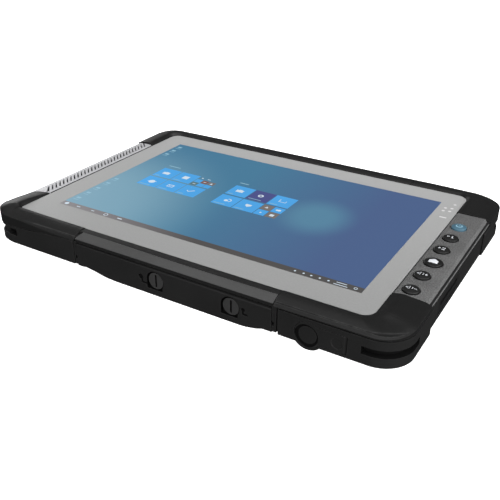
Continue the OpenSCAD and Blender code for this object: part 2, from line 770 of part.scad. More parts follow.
pad_pitch = 4.4;
pad_w = 2.2;
module dock_connector() color([0.75, 0.62, 0.3]) difference() {
    span([dock_x0 + fit, dock_y0 + fit, floor_z + 0.4], [dock_x1 - fit, dock_y1 - fit, floor_top + 1.8]);
    for (i = [0:9]) span([-21 + i * pad_pitch, dock_y0 + 2, 0],
                         [-21 + i * pad_pitch + pad_w, dock_y1 - 2, floor_z + 1]);
}

hatch_box = [-124, -86, -72, -6];
hatch_rim = 6;
hatch_t = 1.2;
hatch_screw_in = 3.2;
hatch_bore_r = 1.15;
module hatch_opening() {
    b = grown(hatch_box, -hatch_rim);
    span([hatch_box[0], hatch_box[2], 0], [hatch_box[1], hatch_box[3], floor_z + hatch_t]);
    span([b[0], b[2], 0], [b[1], b[3], floor_top + 1]);
    for (p = hatch_screw_places()) peg(p, 0, floor_top + 1, hatch_bore_r - 0.1);
}
function hatch_screw_places() = let (b = grown(hatch_box, -hatch_screw_in))
    [for (x = [b[0], b[1]], y = [b[2], b[3]]) [x, y]];
module service_hatch() color([0.14, 0.14, 0.14]) difference() {
    b = grown(hatch_box, -0.2);
    span([b[0], b[2], floor_z - 0.1], [b[1], b[3], floor_z + hatch_t]);
    for (y = [-60:6:-20]) span([b[0] + 6, y, 0], [b[1] - 6, y + 2, floor_z + gap]);
    for (p = hatch_screw_places()) {
        peg(p, 0, far, hatch_bore_r);
        peg(p, 0, floor_z + 0.65, hatch_screw_r + 0.2);
    }
}

// A screw with a cross recess, head down
recess_w = 0.5;
recess_h = 0.9;
module screw(p, head_z, head_r, head_h, shank_r, shank_l) difference() {
    union() {
        peg(p, head_z, head_z + head_h, head_r);
        peg(p, head_z + head_h - eps, head_z + head_h + shank_l, shank_r);
    }
    for (a = [0, 90]) translate([p[0], p[1], head_z]) rotate(a)
        cube([head_r * 1.1, recess_w, recess_h], center = true);
}
hatch_screw_r = 2;
module hatch_screws() color([0.5, 0.5, 0.52]) for (p = hatch_screw_places())
    screw(p, floor_z - 0.05, hatch_screw_r, 0.7, 1, 1.2);
module case_screws() color([0.5, 0.5, 0.52]) for (p = post_places())
    screw(p, screw_seat - 1.6, screw_head_r, 1.6, 1.2, ledge_z - 0.5 - screw_seat);

module foot(side) translate([side * foot_x, foot_y, 0]) {
    translate([0, 0, 1]) linear_extrude(foot_seat - 1) offset_foot(0);
    linear_extrude(1.1) offset_foot(-0.2);
}
module foot_back_left() color([0.09, 0.09, 0.09]) foot(-1);
module foot_back_right() color([0.09, 0.09, 0.09]) foot(1);

// ---- Battery -----------------------------------------------------------------------

// Front outline of the battery, in X and Z: its underside bulges below the case
left_end_z = 2.6;
right_end_z = 2.7;
slope_z = 3.1;
function door_outline(top) = [
    [door_x0, top], [door_x0, left_end_z], [-65, left_end_z], [-61.5, slope_z], [-54, 2],
    [-48, 0.8], [-44, 0.3], [-38, 0], [50, 0], [54, 0.3], [60, 1.4], [64, right_end_z],
    [door_x1, right_end_z], [door_x1, top]];

// Pocket round a knob: a little off centre, with a square corner at its lower left
pocket_shift = 0.4;
pocket_left = 6.5;
pocket_right = 4.6;
pocket_under = 6;
module knob_pocket(x) {
    bar_y(x - pocket_shift, latch_z, -far, knob_back + 0.1, knob_recess_r);
    span([x - pocket_left, -far, latch_z - pocket_under], [x + pocket_right, knob_back + 0.1, latch_z]);
}

// Sunk turning marks beside the knobs: a round spot with a hooked tail
mark_floor = -96.1;
mark_w = 1.2;
module mark_left(x) {
    bar_y(x - 10.8, latch_z + 0.2, -far, mark_floor, 1.6);
    span([x - 10.6, -far, latch_z - 3.8], [x - 10.6 + mark_w, mark_floor, latch_z]);
    span([x - 10.6, -far, latch_z - 3.8], [x - 6, mark_floor, latch_z - 3.8 + mark_w]);
}
module mark_right(x) {
    bar_y(x + 7.9, latch_z + 0.6, -far, mark_floor, 1.2);
    span([x + 7.2, -far, latch_z - 2.6], [x + 7.2 + mark_w, mark_floor, latch_z]);
    span([x + 7.2, -far, latch_z - 2.6], [x + 10.8, mark_floor, latch_z - 2.6 + mark_w]);
}
module battery_door() color([0.13, 0.13, 0.13]) difference() {
    extrude_y(-y_max, door_back) polygon(door_outline(door_top));
    for (x = latch_places) {
        knob_pocket(x);
        bar_y(x, latch_z, -far, door_back + 1, latch_bore_r);
    }
    mark_left(latch_left_x);
    mark_right(latch_right_x);
}

contact_pitch = 4.8;
contact_w = 0.8;
function contact_x(i) = -12 + i * contact_pitch;
slope_l = 12;

module battery_pack() color([0.15, 0.15, 0.16]) difference() {
    union() {
        extrude_y(door_back, pack_y1) polygon(door_outline(pack_top - 0.2));
        for (x = [door_x0 - rail_out, door_x1 - 1])
            span([x, -88, rail_z0], [x + rail_out + 1, pack_y1, rail_z1]);
    }
    // room for the latch tongues
    for (x = latch_places) intersection() {
        bar_y(x, latch_z, door_back - 1, latch_pocket_y, latch_sweep_r);
        span([x - 2 * tongue_l, -far, latch_z - tongue_h / 2 - 0.5], [x + 2 * tongue_l, 0, far]);
    }
    // contact slots, and a slope at the back of the bulge
    for (i = [0:contact_count - 1])
        span([contact_x(i) - contact_w, pack_y1 - 4, 9.8], [contact_x(i) + contact_w, 0, 13]);
    extrude_x(door_x0 - 5, door_x1 + 5) polygon([[0, -1], [0, bezel_under],
        [pack_y1 - 0.5, bezel_under], [pack_y1 - slope_l, -0.4], [pack_y1 - slope_l, -1]]);
    seal_ring();
}

// The ring that the seal fills: open at the bottom, like the bay
module seal_ring() difference() {
    span([door_x0 - 2, seal_y0, seal_z0], [door_x1 + 2, seal_y1, pack_top + 5]);
    span([door_x0 + 1, -far, 0], [door_x1 - 1, 0, pack_top - 1.2]);
}
module battery_seal() color([0.3, 0.1, 0.08]) intersection() {
    seal_ring();
    span([door_x0, seal_y0, seal_z0], [door_x1, seal_y1, pack_top - 0.2]);
}

// Contacts that reach into the slots of the pack
module battery_connector() color([0.75, 0.62, 0.3]) {
    span([-17, bay_y1 - 0.9, 9], [17, bay_y1, 13.8]);
    for (i = [0:contact_count - 1])
        span([contact_x(i) - contact_w / 2, pack_y1 - 3, 10.3],
             [contact_x(i) + contact_w / 2, bay_y1 - 0.5, 12.6]);
}

// A quarter-turn knob in the door with its tongue on a shaft behind; side is -1 or 1
cam_hub_y = -95.6;
module latch_knob(x) difference() {
    bar_y(x, latch_z, knob_front, knob_back, knob_r);
    span([x - slit_w / 2, -far, latch_z - slit_l / 2], [x + slit_w / 2, slit_back, latch_z + slit_l / 2]);
    bar_y(x, latch_z, cam_hub_y, 0, latch_shaft_r);
}
module latch_cam(x, side) {
    reach = side * (tongue_l - gap);
    bar_y(x, latch_z, cam_hub_y, tongue_y1, latch_shaft_r);
    span([min(x, x + reach), tongue_y0, latch_z - tongue_h / 2],
         [max(x, x + reach), tongue_y1, latch_z + tongue_h / 2]);
}
module latch_knob_left() color([0.17, 0.17, 0.17]) latch_knob(latch_left_x);
module latch_knob_right() color([0.17, 0.17, 0.17]) latch_knob(latch_right_x);
module latch_cam_left() color([0.6, 0.6, 0.62]) latch_cam(latch_left_x, -1);
module latch_cam_right() color([0.6, 0.6, 0.62]) latch_cam(latch_right_x, 1);

// ---- Covers and connectors ---------------------------------------------------------

groove_r = 6.8;
groove_shift = 0.7;
ring_r = 5.2;
dimple_r = 3.3;
groove_depth = 0.7;
module port_cover() color([0.12, 0.12, 0.12]) difference() {
    union() {
        difference() {
            extrude_y(-y_max, cover_back) cover_outline(0);
            span([cover_axis_x, -far, 0], [far, 0, far]);
        }
        peg([cover_axis_x, cover_axis_y], cover_z0, cover_z1, barrel_r);
    }
    peg([cover_axis_x, cover_axis_y], 0, far, hinge_bore_r);
    // ring over the power jack and dimple over the audio jack
    difference() {
        bar_y(jack_x - groove_shift, jack_z - groove_shift, -far, -y_max + groove_depth, groove_r);
        bar_y(jack_x, jack_z, -far, 0, ring_r);
    }
    bar_y(audio_x + 1.7, audio_z, -far, -y_max + 0.4, dimple_r);
}
module port_cover_pin() color([0.6, 0.6, 0.6])
    peg([cover_axis_x, cover_axis_y], pin_z0, pin_z1, hinge_pin_r);

module power_jack() color([0.2, 0.2, 0.2]) {
    difference() {
        bar_y(jack_x, jack_z, -93, jack_back, jack_r);
        bar_y(jack_x, jack_z, -far, jack_back - 6, 3);
    }
    bar_y(jack_x, jack_z, -92, jack_back - 5, 1);
}
module audio_jack() color([0.2, 0.2, 0.2]) difference() {
    bar_y(audio_x, audio_z, -92.6, audio_back, audio_r);
    bar_y(audio_x, audio_z, -far, audio_back - 2, 1.8);
}

module side_cover() color([0.1, 0.1, 0.1]) difference() {
    union() {
        span([side_inner, side_y0, side_axis_z], [body_x, side_y1, side_top]);
        bar_y(side_axis_x, side_axis_z, side_y0, side_y1, barrel_r);
    }
    bar_y(side_axis_x, side_axis_z, -far, far, hinge_bore_r);
    // finger slot
    span([body_x - 1.3, side_y0 + 3, 11], [far, side_y1 - 3, 14]);
}
module side_cover_pin() color([0.6, 0.6, 0.6])
    bar_y(side_axis_x, side_axis_z, side_y0 - pin_reach, side_y1 + pin_reach, hinge_pin_r);

// Shell of two sockets, open to the right
socket_wall = 1;
socket_x = [122, 126];
socket_split = [-20, -18.4];
module side_connectors() color([0.65, 0.65, 0.67]) difference() {
    span([socket_x[0], socket_y0, socket_z0], [side_inner - 0.5, socket_y1, socket_z1]);
    span([socket_x[1], socket_y0 + socket_wall, socket_z0 + socket_wall],
         [far, socket_split[0], socket_z1 - socket_wall]);
    span([socket_x[1], socket_split[1], socket_z0 + socket_wall + 0.8],
         [far, socket_y1 - socket_wall, socket_z1 - socket_wall]);
}

rear_case();
front_case();
touch_glass();
display_gasket();
lcd_panel();
mid_frame();
bumper_front_left();
bumper_front_right();
bumper_back_left();
bumper_back_right();
back_rail();
front_trim();
block_front_left();
block_front_right();
block_back_left();
block_back_right();
speaker_grille();
speaker_front();
speaker_back();
key_panel();
key_board();
key_power();
key_user_one();
key_user_two();
key_home();
key_volume_up();
key_volume_down();
main_board();
heat_spreader();
storage_module();
battery_pack();
battery_door();
battery_seal();
latch_knob_left();
latch_knob_right();
latch_cam_left();
latch_cam_right();
battery_connector();
port_cover();
port_cover_pin();
power_jack();
audio_jack();
side_cover();
side_cover_pin();
side_connectors();
rear_camera();
camera_window();
dock_connector();
foot_back_left();
foot_back_right();
service_hatch();
hatch_screws();
case_screws();
light_guide();
front_camera();
antenna_strip();
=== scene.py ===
"""Looks of a rugged field data collector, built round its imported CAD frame.

Lengths in the tables are millimetres in the CAD frame; MM turns them into metres.
"""

import json
import math

import bmesh
import bpy
from mathutils import Matrix, Vector


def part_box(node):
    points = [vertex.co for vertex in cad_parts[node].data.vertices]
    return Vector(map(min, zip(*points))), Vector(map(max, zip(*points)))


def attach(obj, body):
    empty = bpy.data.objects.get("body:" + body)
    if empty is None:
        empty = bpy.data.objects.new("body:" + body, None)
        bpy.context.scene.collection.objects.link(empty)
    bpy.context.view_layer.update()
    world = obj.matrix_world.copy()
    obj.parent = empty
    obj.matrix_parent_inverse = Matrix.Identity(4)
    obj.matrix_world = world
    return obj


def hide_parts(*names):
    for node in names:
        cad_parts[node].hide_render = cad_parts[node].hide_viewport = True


MM = 0.001
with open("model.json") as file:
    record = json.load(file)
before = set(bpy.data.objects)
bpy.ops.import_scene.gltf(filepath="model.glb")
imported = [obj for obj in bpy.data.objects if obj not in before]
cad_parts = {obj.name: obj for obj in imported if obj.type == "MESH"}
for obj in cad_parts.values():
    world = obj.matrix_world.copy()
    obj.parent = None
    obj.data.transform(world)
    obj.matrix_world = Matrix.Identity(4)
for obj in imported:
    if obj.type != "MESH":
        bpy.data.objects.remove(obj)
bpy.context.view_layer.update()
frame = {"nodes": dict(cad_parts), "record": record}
NODES = frame["nodes"]
BODY_OF = {n: b for b, names in frame["record"]["behaviour"]["bodies"].items() for n in names}
SLOT_OF = {n: NODES[n].data.materials[0].name for n in NODES}
ROOT = BODY_OF["rear_case"]

# ---- Sizes of the CAD source; the front left radii and the slant are of the looks alone --

GLASS_TOP = 23.4
GLASS_BOX = (-127.45, 120.25, -85.6, 86.1)
GLASS_R = (7.0, 7.0, 7.0, 2.2)
GLASS_T = 1.8
OUTER_BOX = (-142.5, 142.5, -97.0, 97.0)
OUTER_R = (18.0, 18.0, 18.0, 14.6)
BODY_BOX = (-141.4, 141.4, -95.4, 95.4)
BODY_R = (16.6, 16.6, 16.6, 14.0)
CASE_TOP = 22.0
SKIRT_Z = 19.7
FIT = 0.15
DRIFT_X = 97.0
RIM_LEFT = -69.4
RIM_RIGHT = 70.9
GRILLE_Y = (-57.0, 54.4)
GRILLE_SLANT = 5.4
PANEL_Y = (-57.5, 57.0)
RIM_JOINT = 0.5
BACK_SEAM = 79.7
LIT_BOX = (-110.25, 106.75, -66.6, 69.0)
PANEL_TOP = GLASS_TOP + 0.4
KEY_FLANGE = 0.7
KNOBS = ("latch_knob_left", "latch_knob_right")
KNOB_FRONT = -96.7
RING_PLACE = (90.9, 9.0)
SLOT_Z = (9.15, 13.65)

# ---- Sizes of the looks alone -----------------------------------------------------------

RIM_EDGE = 0.3
LAP_GAP = 0.10
GLASS_EDGE = 0.25
SEAL_W = 1.15
KEY_TOP = PANEL_TOP + 1.6
KEY_SAG = 0.7
KEY_EASE = 0.3
KEY_TURN = 0.45
# Where the painted shade of the back right bumper's small hole sits
MARK_PLACE = (128.3, 60.6)
# How far the parting line over a corner block is widened, and the front left corner pushed out
PARTING = 0.45
CORNER_PUSH = 1.2
# Faces this far behind the face around them count as the inside of a pocket
FACE_DEPTH = 0.15
POCKET_BACK = -94
KNOB_REACH = 13
KNOB_Z = (4, 17)
RING_REACH = 7.6
DOOR_CHAMFER = 1.3
DOOR_ROUND = 0.6
DOOR_LOW_EDGE = 3.2
DOOR_TOP_EDGE = 17.7
# The key panel's outer edge: the X where it starts, and the move of its upper and lower line
PANEL_EDGE = (140, 141.5)
PANEL_MOVE = ((0.6, 1.1), (0.2, 1.6))
TRIM_INSET = 1.3
TRIM_SLANT = 1.3
TRIM_SLANT_FROM = 22.6
TRIM_ROUND = 0.8
# How far the trim's back edge lies behind a straight line, along X
TRIM_BOW = [(-69, 0.85), (-58, 0.7), (-30, 0.2), (11, -0.2), (40, -0.1), (71, 0.3)]

# ---- Light and camera -------------------------------------------------------------------

FLOOR_GLOW = 1.1
WORLD_LEVEL = 0.06
# Name, direction in which it shines, strength and angle across in degrees
SUNS = (("top_soft", (0.05, 0.15, -1.0), 1.1, 60),
        ("right_soft", (-0.9, 0.1, -0.50), 3.4, 50),
        ("front_soft", (-0.1, 0.9, -0.42), 2.1, 50),
        ("left_back_glow", (0.82, -0.53, -0.20), 0.42, 24),
        ("back_glow", (0.25, -0.68, -0.68), 0.04, 40))
CAMERA_PLACE = (0.21699, -0.36210, 0.21609)
CAMERA_AZIMUTH = -31.16
CAMERA_DROP = 28.34
CAMERA_ROLL = 0.21
CAMERA_LENS = 49.95


# ---- Small helpers ---------------------------------------------------------------------


def mix(a, b, f):
    return a + (b - a) * f


def lookup(v, table):
    """Straight-line interpolation in a table of (place, value), held at its ends."""
    if v <= table[0][0]:
        return table[0][1]
    for (a, fa), (b, fb) in zip(table, table[1:]):
        if v <= b:
            return mix(fa, fb, (v - a) / (b - a))
    return table[-1][1]


def eased(v, table, spread=0.02):
    """lookup() with its corners smoothed over +-spread."""
    taps = (-1, -0.5, 0, 0.5, 1)
    return sum(lookup(v + s * spread, table) for s in taps) / len(taps)


def steps(a, b, n):
    return [mix(a, b, i / n) for i in range(n + 1)]


# ---- Materials -------------------------------------------------------------------------


def link(tree, a, b):
    tree.links.new(a, b)


def node(tree, kind, **values):
    made = tree.nodes.new(kind)
    for key, value in values.items():
        setattr(made, key, value)
    return made


def object_place(tree):
    return node(tree, "ShaderNodeTexCoord").outputs["Object"]


def noise(tree, scale, detail=3.0, rough=0.55, stretch=None):
    """Noise over the frame's own coordinates; scale is in cells per metre."""
    tex = node(tree, "ShaderNodeTexNoise")
    tex.inputs["Scale"].default_value = scale
    tex.inputs["Detail"].default_value = detail
    tex.inputs["Roughness"].default_value = rough
    place = object_place(tree)
    if stretch:
        mapping = node(tree, "ShaderNodeMapping")
        mapping.inputs["Scale"].default_value = stretch
        link(tree, place, mapping.inputs["Vector"])
        place = mapping.outputs["Vector"]
    link(tree, place, tex.inputs["Vector"])
    return tex.outputs["Fac"]


def ranged(tree, value, low, high, to_low, to_high):
    ramp = node(tree, "ShaderNodeMapRange")
    for name, v in (("From Min", low), ("From Max", high), ("To Min", to_low), ("To Max", to_high)):
        ramp.inputs[name].default_value = v
    link(tree, value, ramp.inputs["Value"])
    return ramp.outputs["Result"]


def math_node(tree, operation, a, b=None):
    made = node(tree, "ShaderNodeMath", operation=operation)
    for socket, value in zip(made.inputs, (a, b)):
        if value is None:
            continue
        if isinstance(value, (int, float)):
            socket.default_value = value
        else:
            link(tree, value, socket)
    return made.outputs[0]


def mixed(tree, factor, a, b):
    """Colour a where factor is 0 and b where it is 1."""
    made = node(tree, "ShaderNodeMix", data_type="RGBA")
    if isinstance(factor, (int, float)):
        made.inputs["Factor"].default_value = factor
    else:
        link(tree, factor, made.inputs["Factor"])
    for name, value in (("A", a), ("B", b)):
        socket = [s for s in made.inputs if s.name == name and s.type == "RGBA"][0]
        if isinstance(value, tuple):
            socket.default_value = (*value, 1.0)
        else:
            link(tree, value, socket)
    return [s for s in made.outputs if s.type == "RGBA"][0]


def edge_mask(tree, radius, gain):
    """1 along sharp edges within radius, 0 on flat and smoothly curved faces."""
    bevel = node(tree, "ShaderNodeBevel", samples=4)
    bevel.inputs["Radius"].default_value = radius
    true = node(tree, "ShaderNodeNewGeometry").outputs["Normal"]
    dot = node(tree, "ShaderNodeVectorMath", operation="DOT_PRODUCT")
    link(tree, bevel.outputs["Normal"], dot.inputs[0])
    link(tree, true, dot.inputs[1])
    return ranged(tree, dot.outputs["Value"], 1.0, 1.0 - 1.0 / gain, 0.0, 1.0)


def bumped(tree, height, distance, strength, below=None):
    bump = node(tree, "ShaderNodeBump")
    bump.inputs["Distance"].default_value = distance
    bump.inputs["Strength"].default_value = strength
    link(tree, height, bump.inputs["Height"])
    if below is not None:
        link(tree, below, bump.inputs["Normal"])
    return bump.outputs["Normal"]


def grey(v):
    return (v, v, v)


def tinted(colour, factor):
    return tuple(c * factor for c in colour)


def new_material(name):
    made = bpy.data.materials.new(name)
    made.use_nodes = True
    tree = made.node_tree
    tree.nodes.clear()
    out = node(tree, "ShaderNodeOutputMaterial")
    shader = node(tree, "ShaderNodeBsdfPrincipled")
    link(tree, shader.outputs[0], out.inputs["Surface"])
    return made, tree, shader


def set_values(shader, **values):
    for name, value in values.items():
        socket = shader.inputs[name.replace("_", " ")]
        socket.default_value = (*value, 1.0) if isinstance(value, tuple) else value


def moulded(name, colour, rough, spec=0.3, metallic=0.0, grain=1400, grain_depth=0.03,
            grain_strength=0.35, mottle=0.12, wear=0.5, dust=0.05, stretch=None, **extra):
    """A moulded, painted or cast surface: fine grain, soft mottling, dust and worn edges."""
    made, tree, shader = new_material(name)
    set_values(shader, Specular_IOR_Level=spec, Metallic=metallic, **extra)
    fine = noise(tree, grain, 4.0, 0.6, stretch)
    broad = noise(tree, 38, 3.0)
    base = mixed(tree, ranged(tree, broad, 0.3, 0.7, 0, 1),
                 tinted(colour, 1 - mottle), tinted(colour, 1 + mottle))
    base = mixed(tree, ranged(tree, fine, 0.35, 0.7, 0, 1), base, tinted(colour, 1 + mottle * 1.4))
    specks = ranged(tree, noise(tree, 420, 6.0, 0.75), 0.62, 0.74, 0, dust)
    base = mixed(tree, specks, base, tuple(mix(c, 0.45, 0.35) for c in colour))
    if wear:
        edges = math_node(tree, "MULTIPLY", edge_mask(tree, 0.0007, 3.0),
                          ranged(tree, noise(tree, 260, 4.0), 0.35, 0.65, 0.25 * wear, wear))
        base = mixed(tree, edges, base, tuple(mix(c, 0.30, 0.22) for c in colour))
    link(tree, base, shader.inputs["Base Color"])
    rough_map = math_node(tree, "ADD", ranged(tree, broad, 0.25, 0.75, -0.05, 0.05),
                          ranged(tree, fine, 0.3, 0.7, rough - 0.05, rough + 0.06))
    link(tree, rough_map, shader.inputs["Roughness"])
    if grain_strength:
        link(tree, bumped(tree, fine, grain_depth * MM, grain_strength), shader.inputs["Normal"])
    return made


def pebbled(name, colour, rough, spec, cells, depth, strength, mottle):
    """A moulded leather-like grain: small raised cells between fine grooves. The grooves are darkened as
    painted shade, and sharp edges lightened as a painted highlight.
    """
    made, tree, shader = new_material(name)
    set_values(shader, Specular_IOR_Level=spec)
    cell = node(tree, "ShaderNodeTexVoronoi", feature="DISTANCE_TO_EDGE")
    cell.inputs["Scale"].default_value = cells
    link(tree, object_place(tree), cell.inputs["Vector"])
    raised = ranged(tree, cell.outputs["Distance"], 0.02, 0.22, 0, 1)
    fine = noise(tree, cells * 2.2, 4.0)
    broad = noise(tree, 45, 3.0)
    base = mixed(tree, ranged(tree, broad, 0.3, 0.7, 0, 1),
                 tinted(colour, 1 - mottle), tinted(colour, 1 + mottle))
    # Painted shade: the grooves between the cells are darkened
    base = mixed(tree, ranged(tree, raised, 0, 1, 0.6, 0), base, tinted(colour, 0.5))
    # Painted highlight: sharp edges are lightened into a lit edge line
    edges = ranged(tree, edge_mask(tree, 0.0006, 3.0), 0, 1, 0, 0.5)
    base = mixed(tree, edges, base, tinted(colour, 1.9))
    link(tree, base, shader.inputs["Base Color"])
    link(tree, ranged(tree, fine, 0.3, 0.7, rough - 0.06, rough + 0.08), shader.inputs["Roughness"])
    lower = bumped(tree, fine, depth * 0.4 * MM, strength)
    link(tree, bumped(tree, raised, depth * MM, strength, lower), shader.inputs["Normal"])
    return made


def board_material():
    """Green solder mask with tracks under it and a few bare pads."""
    made, tree, shader = new_material("circuit_board")
    set_values(shader, Specular_IOR_Level=0.5)
    tracks = node(tree, "ShaderNodeTexBrick")
    tracks.inputs["Scale"].default_value = 160
    tracks.inputs["Mortar Size"].default_value = 0.035
    link(tree, object_place(tree), tracks.inputs["Vector"])
    pads = node(tree, "ShaderNodeTexVoronoi")
    pads.inputs["Scale"].default_value = 260
    link(tree, object_place(tree), pads.inputs["Vector"])
    dots = ranged(tree, pads.outputs["Distance"], 0.16, 0.12, 0, 1)
    base = mixed(tree, tracks.outputs["Fac"], (0.012, 0.11, 0.05), (0.02, 0.19, 0.09))
    base = mixed(tree, dots, base, (0.62, 0.47, 0.18))
    link(tree, base, shader.inputs["Base Color"])
    link(tree, ranged(tree, noise(tree, 300), 0.3, 0.7, 0.28, 0.42), shader.inputs["Roughness"])
    link(tree, bumped(tree, tracks.outputs["Fac"], 0.02 * MM, 0.4), shader.inputs["Normal"])
    return made


def position_axes(tree):
    split = node(tree, "ShaderNodeSeparateXYZ")
    link(tree, object_place(tree), split.inputs[0])
    return split.outputs["X"], split.outputs["Y"]


def length(tree, a, b):
    """The length of the vector (a, b)."""
    squares = [math_node(tree, "POWER", v, 2.0) for v in (a, b)]
    return math_node(tree, "SQRT", math_node(tree, "ADD", *squares))


def smudged(tree, low, high):
    """Roughness of a touched glass, between low and high."""
    return ranged(tree, noise(tree, 22, 4.0, 0.6), 0.3, 0.75, low, high)


def inside(tree, value, low, high, soft):
    """1 where value is between low and high, 0 outside, with edges soft wide."""
    up = ranged(tree, value, low - soft, low + soft, 0, 1)
    down = ranged(tree, value, high - soft, high + soft, 1, 0)
    return math_node(tree, "MULTIPLY", up, down)


GLASS_SHEEN = 0.10
# The pale colour of the picture's front left corner: partly its own, partly a painted reflection of the light
# at the left
WALL_PALE_AND_SHEEN = (0.180, 0.345, 0.450)
WALL_TEAL = (0.052, 0.180, 0.300)
WALL_INDIGO = (0.060, 0.108, 0.240)
WALL_GLOW = (0.085, 0.225, 0.340)
# The border's print runs lighter from front to back: a painted reflection of the light behind it, over the
# print's own grey
BORDER_FRONT = (0.278, 0.280, 0.278)
BORDER_BACK_PAINTED_SHEEN = (0.372, 0.373, 0.372)


def glass_material():
    """The top glass: a light grey printed border round a lit picture."""
    made, tree, shader = new_material("touch_glass")
    set_values(shader, Specular_IOR_Level=GLASS_SHEEN, Emission_Strength=1.0)
    x, y = position_axes(tree)
    window = math_node(tree, "MULTIPLY",
                       inside(tree, x, LIT_BOX[0] * MM, LIT_BOX[1] * MM, 0.05 * MM),
                       inside(tree, y, LIT_BOX[2] * MM, LIT_BOX[3] * MM, 0.05 * MM))
    # distance from the picture's front left corner, squeezed along Y
    far_x = math_node(tree, "SUBTRACT", x, LIT_BOX[0] * MM)
    far_y = math_node(tree, "MULTIPLY", math_node(tree, "SUBTRACT", y, LIT_BOX[2] * MM), 0.8)
    corner = ranged(tree, length(tree, far_x, far_y), 0.036, 0.112, 1, 0)
    corner.node.interpolation_type = "SMOOTHSTEP"
    across = ranged(tree, far_x, 0.085, 0.185, 0, 1)
    wall = mixed(tree, across, WALL_TEAL, WALL_INDIGO)
    # The picture runs lighter towards its front left corner: partly its own gradient, partly a painted
    # reflection of the light at the left
    wall = mixed(tree, corner, wall, WALL_PALE_AND_SHEEN)
    glow_x = math_node(tree, "MULTIPLY", math_node(tree, "SUBTRACT", far_x, 0.155), 1 / 0.024)
    glow_y = math_node(tree, "MULTIPLY", math_node(tree, "SUBTRACT", far_y, 0.0565), 1 / 0.021)
    glow = ranged(tree, length(tree, glow_x, glow_y), 0.35, 1.25, 0.9, 0)
    glow.node.interpolation_type = "SMOOTHSTEP"
    wall = mixed(tree, glow, wall, WALL_GLOW)
    fine = noise(tree, 900, 3.0)
    # Painted reflection: the border is lighter towards the back
    depth = ranged(tree, y, GLASS_BOX[2] * MM, GLASS_BOX[3] * MM, 0, 1)
    border = mixed(tree, depth, BORDER_FRONT, BORDER_BACK_PAINTED_SHEEN)
    border = mixed(tree, ranged(tree, fine, 0.3, 0.7, 0, 0.06), border, (0.6, 0.6, 0.6))
    base = mixed(tree, window, border, (0.012, 0.013, 0.015))
    lit = mixed(tree, window, (0.0, 0.0, 0.0), wall)
    link(tree, base, shader.inputs["Base Color"])
    link(tree, lit, shader.inputs["Emission Color"])
    link(tree, smudged(tree, 0.30, 0.32), shader.inputs["Roughness"])
    link(tree, bumped(tree, fine, 0.004 * MM, 0.3), shader.inputs["Normal"])
    return made


def screen_ink(name, colour):
    """Lit picture elements: a faint gradient over a dark glossy ground."""
    made, tree, shader = new_material(name)
    set_values(shader, Specular_IOR_Level=GLASS_SHEEN, Emission_Strength=1.0)
    broad = noise(tree, 30, 2.0)
    lit = mixed(tree, ranged(tree, broad, 0.3, 0.7, 0, 1), tinted(colour, 0.96), tinted(colour, 1.04))
    link(tree, lit, shader.inputs["Emission Color"])
    link(tree, mixed(tree, broad, (0.010, 0.011, 0.013), (0.014, 0.015, 0.017)), shader.inputs["Base Color"])
    link(tree, smudged(tree, 0.26, 0.34), shader.inputs["Roughness"])
    return made


def taskbar_material():
    made, tree, shader = new_material("screen_taskbar")
    set_values(shader, Specular_IOR_Level=GLASS_SHEEN, Emission_Strength=1.0)
    x, _ = position_axes(tree)
    # The bar runs lighter towards the left: partly its own tone, partly a painted reflection of the light at
    # the left
    lit = mixed(tree, ranged(tree, x, -0.080, -0.002, 0, 1), (0.215, 0.205, 0.215), (0.070, 0.066, 0.064))
    lit = mixed(tree, ranged(tree, noise(tree, 60), 0.3, 0.7, 0, 0.12), lit, (0.10, 0.10, 0.10))
    link(tree, lit, shader.inputs["Emission Color"])
    shader.inputs["Base Color"].default_value = (0.012, 0.012, 0.013, 1)
    link(tree, smudged(tree, 0.26, 0.34), shader.inputs["Roughness"])
    return made


